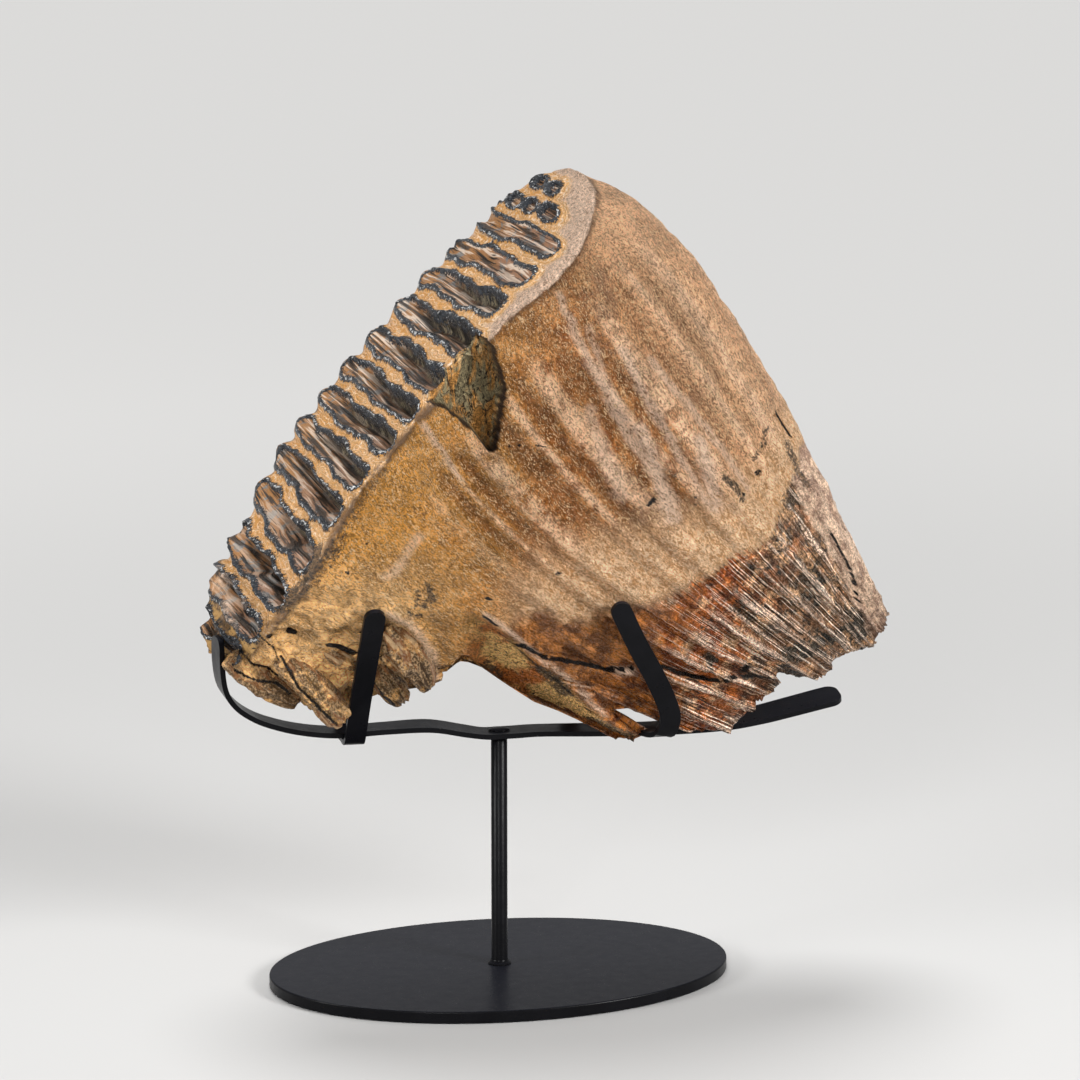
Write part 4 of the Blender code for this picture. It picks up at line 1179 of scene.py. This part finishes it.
def bare_root_tone(f, crests):
    """Rust and black streaks of the bare roots, greyer and paler at the right, with painted
    highlights on their crests and striae.
    """
    right = f.ramp(f.times_plus(f.blotch, 50, f.x), 100, 140)
    gloom = f.highest(f.ramp(f.gloom, 0.55, 0.61), f.times(right, f.ramp(f.gloom, 0.45, 0.51)))
    tone = f.coats(f.rust_tone, (f.patch, 0.4, 0.6, (0.42, 0.115, 0.021)))
    tone = f.stains(tone, (right, 0.8, (0.21, 0.125, 0.07)))
    tone = f.mix(gloom, tone, (0.036, 0.029, 0.02))
    tone = f.coats(tone, (f.pale, 0.52, 0.61, (0.58, 0.33, 0.17)))
    tone = f.shades(tone, (f.rung, 0.4, 0.6, 0.6, 1.3))
    # Painted highlights on the root crests.
    tone = f.mix(crests, tone, (1, 0.74, 0.56))
    # Painted highlights on the raised streaks and thin striae, and painted shade in the low
    # striae.
    tone = f.stains(tone, (f.ramp(f.streak, 0.6, 0.66), 0.7, (0.74, 0.47, 0.29)))
    tone = f.coats(tone, (f.thin, 0.615, 0.66, (1, 0.82, 0.66)),
                   (f.thin, 0.43, 0.37, (0.024, 0.01, 0.005)))
    tone = f.shades(tone, (f.fluff, 0.38, 0.64, 0.5, 2))
    outer = f.times_plus(f.patch, 10, f.times_plus(f.z, 0.55, f.x))
    outer_tone = f.coats((0.42, 0.26, 0.18), (f.patch, 0.42, 0.58, (0.86, 0.6, 0.42)))
    outer_tone = f.shades(outer_tone, (f.fluff, 0.38, 0.62, 0.55, 1.35))
    return f.coats(tone, (outer, 220.5, 223.5, outer_tone, 0.9))


def bare_share(f):
    ragged = f.sway(f.streak, 12, f.above_root)
    return f.where((ragged, 1.2, -2), (f.times_plus(f.z, -0.5, f.x), -45, -12))


def red_share(f):
    """Share of the red-brown skin above the crest of the broad root."""
    skin = f.times_plus(f.ramp(f.x, 26, 4), -6.5, f.above_root)
    skin = f.sway(f.patch, 14, skin)
    return f.where((skin, 0.5, -6), (f.x, -16, 0), (f.x, 78, 45))


def with_low_roots(f, flank, red):
    """Red skin, the turned-under side of the broad root, and the low end's roots."""
    tone = f.coats((0.15, 0.038, 0.005), (f.patch, 0.42, 0.6, (0.5, 0.165, 0.026)))
    tone = f.shades(tone, (f.hair, 0.4, 0.6, 0.5, 1.6))
    flank = f.stains(flank, (red, 0.85, tone))
    tone = f.coats((0.88, 0.53, 0.19), (f.blotch, 0.5, 0.6, (0.48, 0.145, 0.03)))
    tone = f.mix(f.ramp(f.mottle, 0.385, 0.44), (0.03, 0.02, 0.012), tone)
    tone = f.shades(tone, (f.fluff, 0.38, 0.64, 0.55, 1.8))
    flank = f.stains(flank, (f.facet, 0.94, tone))
    share = f.where((f.above_root, 4, -12), (f.x, -20, -34), (f.blotch, 0.4, 0.5))
    share = f.highest(share, f.times(f.finger, f.ramp(f.patch, 0.36, 0.5)))
    tone = f.coats((0.055, 0.034, 0.018), (f.grit, 0.45, 0.58, (0.58, 0.38, 0.21)),
                   (f.sweep, 0.5, 0.56, (0.26, 0.095, 0.032)),
                   (f.sweep, 0.58, 0.63, (0.6, 0.4, 0.22)),
                   (f.sweep, 0.43, 0.38, (0.035, 0.018, 0.01)))
    return f.stains(flank, (share, 0.9, tone))


def strip_tone(f, far, beside, rim):
    """Ochre strips between the loops, and the rim and low end of the face."""
    patch, fluff, along = f.patch, f.fluff, f.along
    tone = f.mix(far, (0.64, 0.34, 0.12), f.ochre_tone)
    tone = f.coats(tone, (f.ring, 2.2, 1, f.ochre_tone), (beside, 0.47, 0.4, (0.19, 0.085, 0.028)),
                   (beside, 0.53, 0.58, (0.84, 0.6, 0.38)),
                   (f.flake, 0.59, 0.64, (0.84, 0.66, 0.49)))
    tone = f.shades(tone, (fluff, 0.38, 0.64, 0.8, 1.25))
    rim_tone = f.coats((0.32, 0.175, 0.1), (f.hair, 0.33, 0.56, (0.88, 0.63, 0.46)))
    rim_tone = f.shades(rim_tone, (fluff, 0.38, 0.64, 0.7, 1.25))
    tone = f.mix(rim, tone, rim_tone)
    # Dark along the edges of the face, short of its high end: painted shade.
    painted_edge_shade = f.where((f.inside, 3.2, 0.6), (along, 150, 136), (patch, 0.4, 0.52))
    tone = f.stains(tone, (painted_edge_shade, 0.8, (0.13, 0.06, 0.022)))
    worn_end = f.coats((0.12, 0.062, 0.02), (patch, 0.42, 0.56, (0.5, 0.29, 0.1)),
                       (f.flake, 0.45, 0.38, (0.02, 0.016, 0.012)))
    return f.coats(tone, (along, 42, 24, worn_end))


def dentine_tone(f, far):
    """Striped dentine inside the loops, painted darker in deep troughs, with the combed walls of
    their high side painted near black as shade.
    """
    tone = f.mix(far, f.dentine_tone, (0.36, 0.165, 0.05))
    tone = f.coats(tone, (f.patch, 0.52, 0.6, (0.19, 0.18, 0.17)))
    cream = f.where((f.stripe, 0.52, 0.57), (f.along, 60, 100, 0.35, 0.9))
    tone = f.mix(cream, tone, (0.76, 0.6, 0.47))
    tone = f.coats(tone, (f.stripe, 0.47, 0.42, (0.05, 0.03, 0.018)),
                   (f.vein, 0.41, 0.37, (0.008, 0.006, 0.005)))
    # Deep troughs are painted darker: painted shade.
    tone = f.shades(tone, (f.hollow, 0.45, 1, 1, 0.34))
    # The high-side walls are painted near black, painted shade, with paler combed striations.
    wall_tone = f.coats((0.007, 0.006, 0.005), (f.comb, 0.47, 0.58, (0.19, 0.155, 0.095)))
    return f.mix(f.wall, tone, wall_tone)


def enamel_tone(f, jagged):
    """Blue-black enamel that glints along its crest."""
    tone = f.coats(f.enamel_tone, (f.flake, 0.44, 0.58, (0.052, 0.06, 0.072)))
    crest = f.maths("ABSOLUTE", f.off_middle(jagged, 0.35))
    glint = f.where((crest, 0.26, 0.1), (f.glow, 0.52, 0.56))
    glint = f.highest(glint, f.ramp(f.spark, 0.7, 0.75))
    return f.mix(glint, tone, (0.86, 0.86, 0.85))


def wedge_tone(f):
    """Split, layered stone where the wedge is broken out."""
    shard = f.stretch(f.place, (0.24, 0.24, 0.085))
    ply = f.noise(shard, 1, 3, 0.5, 0.8)
    tone = f.coats((0.6, 0.29, 0.08), (ply, 0.44, 0.56, (0.33, 0.27, 0.15)))
    for numbers, low, high, colour in (
            ((0.6, 3, 0.6, 1.2), 0.44, 0.36, (0.05, 0.03, 0.014)),
            ((0.8, 4, 0.6, 0.6), 0.57, 0.64, (0.7, 0.44, 0.2))):
        tone = f.coats(tone, (f.noise(shard, *numbers), low, high, colour))
    split = f.maths("ABSOLUTE", f.off_middle(f.noise(shard, 1.4, 4, 0.6, 0.8)))
    tone = f.coats(tone, (split, 0.022, 0.004, (0.02, 0.012, 0.007)))
    tone = f.shades(tone, (f.tuft, 0.42, 0.6, 0.55, 1.5))
    # Dark just inside the broken wedge's outline: painted shade on its walls.
    return f.coats(tone, (f.chip, 1.5, 0.5, (0.035, 0.02, 0.012)))


def with_marks(f, surface, pit):
    """Painted highlights of the light marks, crust, and dark marks (cracks, flecks and painted
    shade in pits and grooves) over a surface.
    """
    light = f.times(f.light, f.ramp(f.tuft, 0.37, 0.5))
    bone = f.shades(f.bone_tone, (f.tuft, 0.42, 0.62, 0.8, 1.3))
    surface = f.stains(surface, (light, 0.95, bone))
    mask = f.plus(f.crust, f.times(f.off_middle(f.fleck, 0.62), 2.6))
    tone = f.coats(f.crust_tone, (f.hair, 0.45, 0.62, (0.22, 0.13, 0.065)))
    surface = f.coats(surface, (mask, 0.15, 0.55, tone, 0.92))
    return f.mix(pit, surface, (0.012, 0.008, 0.006))


def tooth_finish(settings):
    """The tooth's whole material."""
    f = ToothFinish(settings)
    crests, bare, red = root_crests(f), bare_share(f), red_share(f)
    flank = f.mix(bare, pale_band(f, cement_tone(f)), bare_root_tone(f, crests))
    flank = with_low_roots(f, flank, red)

    sway = f.times(f.off_middle(f.blotch), 1.2)
    far = f.ramp(f.plus(f.across, sway), -0.35, 0.7)
    beside = f.noise(f.times_plus(f.patch, 4, f.ring), 0.55, 3, 0.6)
    rim = f.where((f.ring, 2.6, 4.6), (f.along, 134, 150, 0.25, 1))
    jagged = f.plus(f.ring, f.times(f.off_middle(f.grit), 3.2))
    on_ridge = f.ramp(f.maths("ABSOLUTE", jagged), 1.2, 1)
    face = f.coats(dentine_tone(f, far), (f.ring, -0.4, 0.3, strip_tone(f, far, beside, rim)))
    face = f.mix(on_ridge, face, enamel_tone(f, jagged))
    on_face = f.ramp(f.sway(f.patch, 5, f.inside), -1.6, -0.4)
    # Dark marks: cracks and flecks, and painted shade in pits and grooves.
    pit = f.ramp(f.plus(f.dark, f.times(f.off_middle(f.fluff), 1.2)), 0.42, 0.6)
    surface = with_marks(f, f.mix(on_face, flank, face), pit)
    surface = f.coats(surface, (f.chip, 0.05, 0.35, wedge_tone(f)))

    gloss = f.plus(bare, f.times(f.light, 0.6), use_clamp=True)
    low_gloss = f.where((f.x, -20, -50), (f.z, 176, 150, 0, 0.9))
    for share in (f.times(f.facet, 0.7), low_gloss, f.times(red, 0.9)):
        gloss = f.highest(gloss, share)
    rough = f.plus(f.ramp(gloss, 0, 1, 0.42, 0.26), f.times(f.off_middle(f.fluff), 0.3))
    face_rough = f.mix(on_ridge, (0.42, 0.42, 0.42), (0.17, 0.17, 0.17))
    rough = f.mix(on_face, rough, face_rough)

    tufts = f.times_plus(f.wisp, 1.2, f.times(f.tuft, 5))
    streaks = f.times_plus(f.thin, 1.6, f.times(f.streak, 1.8))
    for part, height in ((f.fluff, 0.8), (crests, 0.7)):
        streaks = f.times_plus(part, height, streaks)
    plain = f.times_plus(f.stripe, 2, f.times(f.flake, 0.8))
    for part, height in ((f.times(f.tuft, rim), 2),
                         (f.times(beside, f.ramp(f.ring, 0.5, 1.5)), 0.9)):
        plain = f.times_plus(part, height, plain)
    plain = f.mix(on_ridge, plain, f.times(f.grit, 1.5))
    height = f.mix(on_face, f.mix(bare, tufts, streaks), plain)
    return f.finished(surface, rough, 0.37, f.maths("SUBTRACT", height, f.times(pit, 1.2)))


# ------------------------------------------------------------------ operators
class FOSSIL_OT_base_plate(bpy.types.Operator):
    """Build the oval base plate"""
    bl_idname = "fossil.base_plate"
    bl_label = "Base plate"

    def execute(self, context):
        stand = context.scene.fossil_stand
        bm = bmesh.new()
        disc = bmesh.ops.create_circle(bm, cap_ends=True, segments=192, radius=0.5)
        size = (stand.plate_length, stand.plate_depth, 1)
        bmesh.ops.scale(bm, vec=size, verts=disc["verts"])
        raised = bmesh.ops.extrude_face_region(bm, geom=list(bm.faces))
        top = [part for part in raised["geom"] if isinstance(part, bmesh.types.BMVert)]
        bmesh.ops.translate(bm, vec=(0, 0, stand.plate_thickness), verts=top)
        plate = finish_piece("base_oval", bm, paint_finish(stand), "base_plate",
                             STRIP_SMOOTH)
        add_bevel(plate, PLATE_BEVEL)
        return {"FINISHED"}


class FOSSIL_OT_post(bpy.types.Operator):
    """Build the post with the fillet at its foot"""
    bl_idname = "fossil.post"
    bl_label = "Post"

    def execute(self, context):
        stand = context.scene.fossil_stand
        foot = stand.plate_thickness / MM + TOUCH_GAP
        top = BAR_AT_POST - stand.strip_thickness / MM / 2 - TOUCH_GAP
        radius = stand.post_diameter / MM / 2
        fillet = [(at, foot + height) for at, height in POST_FILLET]
        outline = (*fillet, (radius, foot + 1.8), (radius, top - 0.3), (radius - 0.3, top),
                   (0, top))
        bm = bmesh.new()
        corners = [bm.verts.new((r * MM, 0, z * MM)) for r, z in outline]
        for ends in zip(corners, corners[1:]):
            bm.edges.new(ends)
        bmesh.ops.spin(bm, geom=list(bm.verts) + list(bm.edges), axis=(0, 0, 1), cent=(0, 0, 0),
                       angle=2 * math.pi, steps=64, use_merge=True)
        bmesh.ops.remove_doubles(bm, verts=bm.verts, dist=0.00002)
        finish_piece("post_rod", bm, paint_finish(stand), "post", 50)
        return {"FINISHED"}


class FOSSIL_OT_cradle_bar(bpy.types.Operator):
    """Bend the cradle bar and set the rivet on it"""
    bl_idname = "fossil.cradle_bar"
    bl_label = "Cradle bar"

    def execute(self, context):
        stand = context.scene.fossil_stand
        path = [(x, 0, z, turn) for x, z, turn in BAR_PATH]
        width = stand.bar_width / MM
        bend_strip(stand, "cradle_strip", "cradle_bar", path, BAR_STEP, width, (0, 1, 0),
                   BAR_TIP_RADIUS)
        bm = bmesh.new()
        bmesh.ops.create_uvsphere(bm, u_segments=40, v_segments=20, radius=1)
        lower = [vert for vert in bm.verts if vert.co.z < -0.01]
        bmesh.ops.delete(bm, geom=lower, context="VERTS")
        rim = [edge for edge in bm.edges if edge.is_boundary]
        bmesh.ops.contextual_create(bm, geom=rim)
        bmesh.ops.scale(bm, vec=RIVET_SIZE, verts=bm.verts)
        seat = (BAR_AT_POST + stand.strip_thickness / MM / 2 + TOUCH_GAP) * MM
        bmesh.ops.translate(bm, vec=(0, 0, seat), verts=bm.verts)
        finish_piece("rivet_head", bm, paint_finish(stand), "post_rivet", 60)
        return {"FINISHED"}


class FOSSIL_OT_straps(bpy.types.Operator):
    """Bend the two straps that hold the flanks"""
    bl_idname = "fossil.straps"
    bl_label = "Cradle straps"

    def execute(self, context):
        stand = context.scene.fossil_stand
        width = stand.strap_width / MM
        for side, leg, lean in (("left", LEFT_LEG, False), ("right", RIGHT_LEG, True)):
            path = [(*point, 0) for point in [*reversed(far_side(leg, lean)[1:]), *leg]]
            bend_strip(stand, side + "_strap", side + "_cradle_strap", path, STRAP_STEP, width,
                       (1, 0, 0), width / 2)
        return {"FINISHED"}


class FOSSIL_OT_tooth(bpy.types.Operator):
    """Build the tooth and its broken roots"""
    bl_idname = "fossil.tooth"
    bl_label = "Tooth"

    def execute(self, context):
        settings = context.scene.fossil_tooth
        stone = tooth_finish(settings)
        build_tooth(settings, stone)
        for name, table in FINGERS.items():
            build_finger(name, table, stone)
        return {"FINISHED"}


def stand_up(name, data, place, aim):
    """Put a lamp or camera at a place, looking at its aim."""
    holder = bpy.data.objects.new(name, data)
    holder.location = place
    holder.rotation_euler = (Vector(aim) - Vector(place)).to_track_quat("-Z", "Y").to_euler()
    bpy.context.scene.collection.objects.link(holder)
    return holder


class FOSSIL_OT_stage(bpy.types.Operator):
    """Lay the floor and set the lights and the camera"""
    bl_idname = "fossil.stage"
    bl_label = "Stage"

    def execute(self, context):
        scene, stage = context.scene, context.scene.fossil_stage
        bm = bmesh.new()
        bmesh.ops.create_grid(bm, x_segments=8, y_segments=8, size=40)
        bmesh.ops.translate(bm, vec=(0, 0, -0.0002), verts=bm.verts)
        mesh = bpy.data.meshes.new("floor")
        bm.to_mesh(mesh)
        bm.free()
        f = Finish("pale_floor")
        away = f.add("VectorMath", {0: f.place}, operation="LENGTH").outputs["Value"]
        # The floor is painted darker near the stand: painted shade that evens out the brighter
        # pool of the lamps there.
        paper = f.coats(tuple(stage.floor_near), (away, 130, 1400, tuple(stage.floor)))
        mesh.materials.append(f.finished(paper, 0.8, 0.1))
        floor = bpy.data.objects.new("floor", mesh)
        scene.collection.objects.link(floor)
        powers = (stage.key_power, stage.fill_power, 0.5 * stage.fill_power)
        for power, (name, place, size, spread) in zip(powers, LAMPS):
            lamp = bpy.data.lights.new(name, "AREA")
            lamp.energy = power
            lamp.size = size
            lamp.spread = math.radians(spread)
            stand_up(name, lamp, place, LAMP_AIM)
        sun = bpy.data.lights.new("overhead", "SUN")
        sun.energy = stage.sun_strength
        sun.angle = math.radians(SUN_ANGLE)
        stand_up("overhead", sun, (0, 0, 0), SUN_AIM)
        world = bpy.data.worlds.new("surroundings")
        world.use_nodes = True
        sky = world.node_tree.nodes["Background"].inputs
        sky["Color"].default_value = (1, 0.995, 0.985, 1)
        sky["Strength"].default_value = stage.sky
        scene.world = world
        camera = bpy.data.cameras.new("camera")
        camera.sensor_width = 36
        camera.lens = CAMERA_LENS
        camera.clip_end = 100
        scene.camera = stand_up("camera", camera, CAMERA_PLACE, CAMERA_AIM)
        scene.view_settings.view_transform = "Standard"
        return {"FINISHED"}


class FOSSIL_PT_panel(bpy.types.Panel):
    """Sizes and colours of the tooth, the stand and the stage"""
    bl_label = "Fossil tooth"
    bl_idname = "FOSSIL_PT_panel"
    bl_space_type = "VIEW_3D"
    bl_region_type = "UI"
    bl_category = "Fossil"

    def draw(self, context):
        for group in ("fossil_tooth", "fossil_stand", "fossil_stage"):
            settings = getattr(context.scene, group)
            box = self.layout.box()
            for name in settings.__annotations__:
                box.prop(settings, name)
        for operator in OPERATORS:
            self.layout.operator(operator.bl_idname)


OPERATORS = (FOSSIL_OT_base_plate, FOSSIL_OT_post, FOSSIL_OT_cradle_bar, FOSSIL_OT_straps,
             FOSSIL_OT_tooth, FOSSIL_OT_stage)
GROUPS = {"fossil_tooth": FossilToothSettings, "fossil_stand": FossilStandSettings,
          "fossil_stage": FossilStageSettings}


def register():
    for name, group in GROUPS.items():
        bpy.utils.register_class(group)
        setattr(bpy.types.Scene, name, bpy.props.PointerProperty(type=group))
    for item in (*OPERATORS, FOSSIL_PT_panel):
        bpy.utils.register_class(item)


def unregister():
    for item in reversed((*OPERATORS, FOSSIL_PT_panel)):
        bpy.utils.unregister_class(item)
    for name, group in GROUPS.items():
        delattr(bpy.types.Scene, name)
        bpy.utils.unregister_class(group)


def main():
    register()
    bpy.ops.fossil.base_plate()
    bpy.ops.fossil.post()
    bpy.ops.fossil.cradle_bar()
    bpy.ops.fossil.straps()
    bpy.ops.fossil.tooth()
    bpy.ops.fossil.stage()


if __name__ == "__main__":
    main()
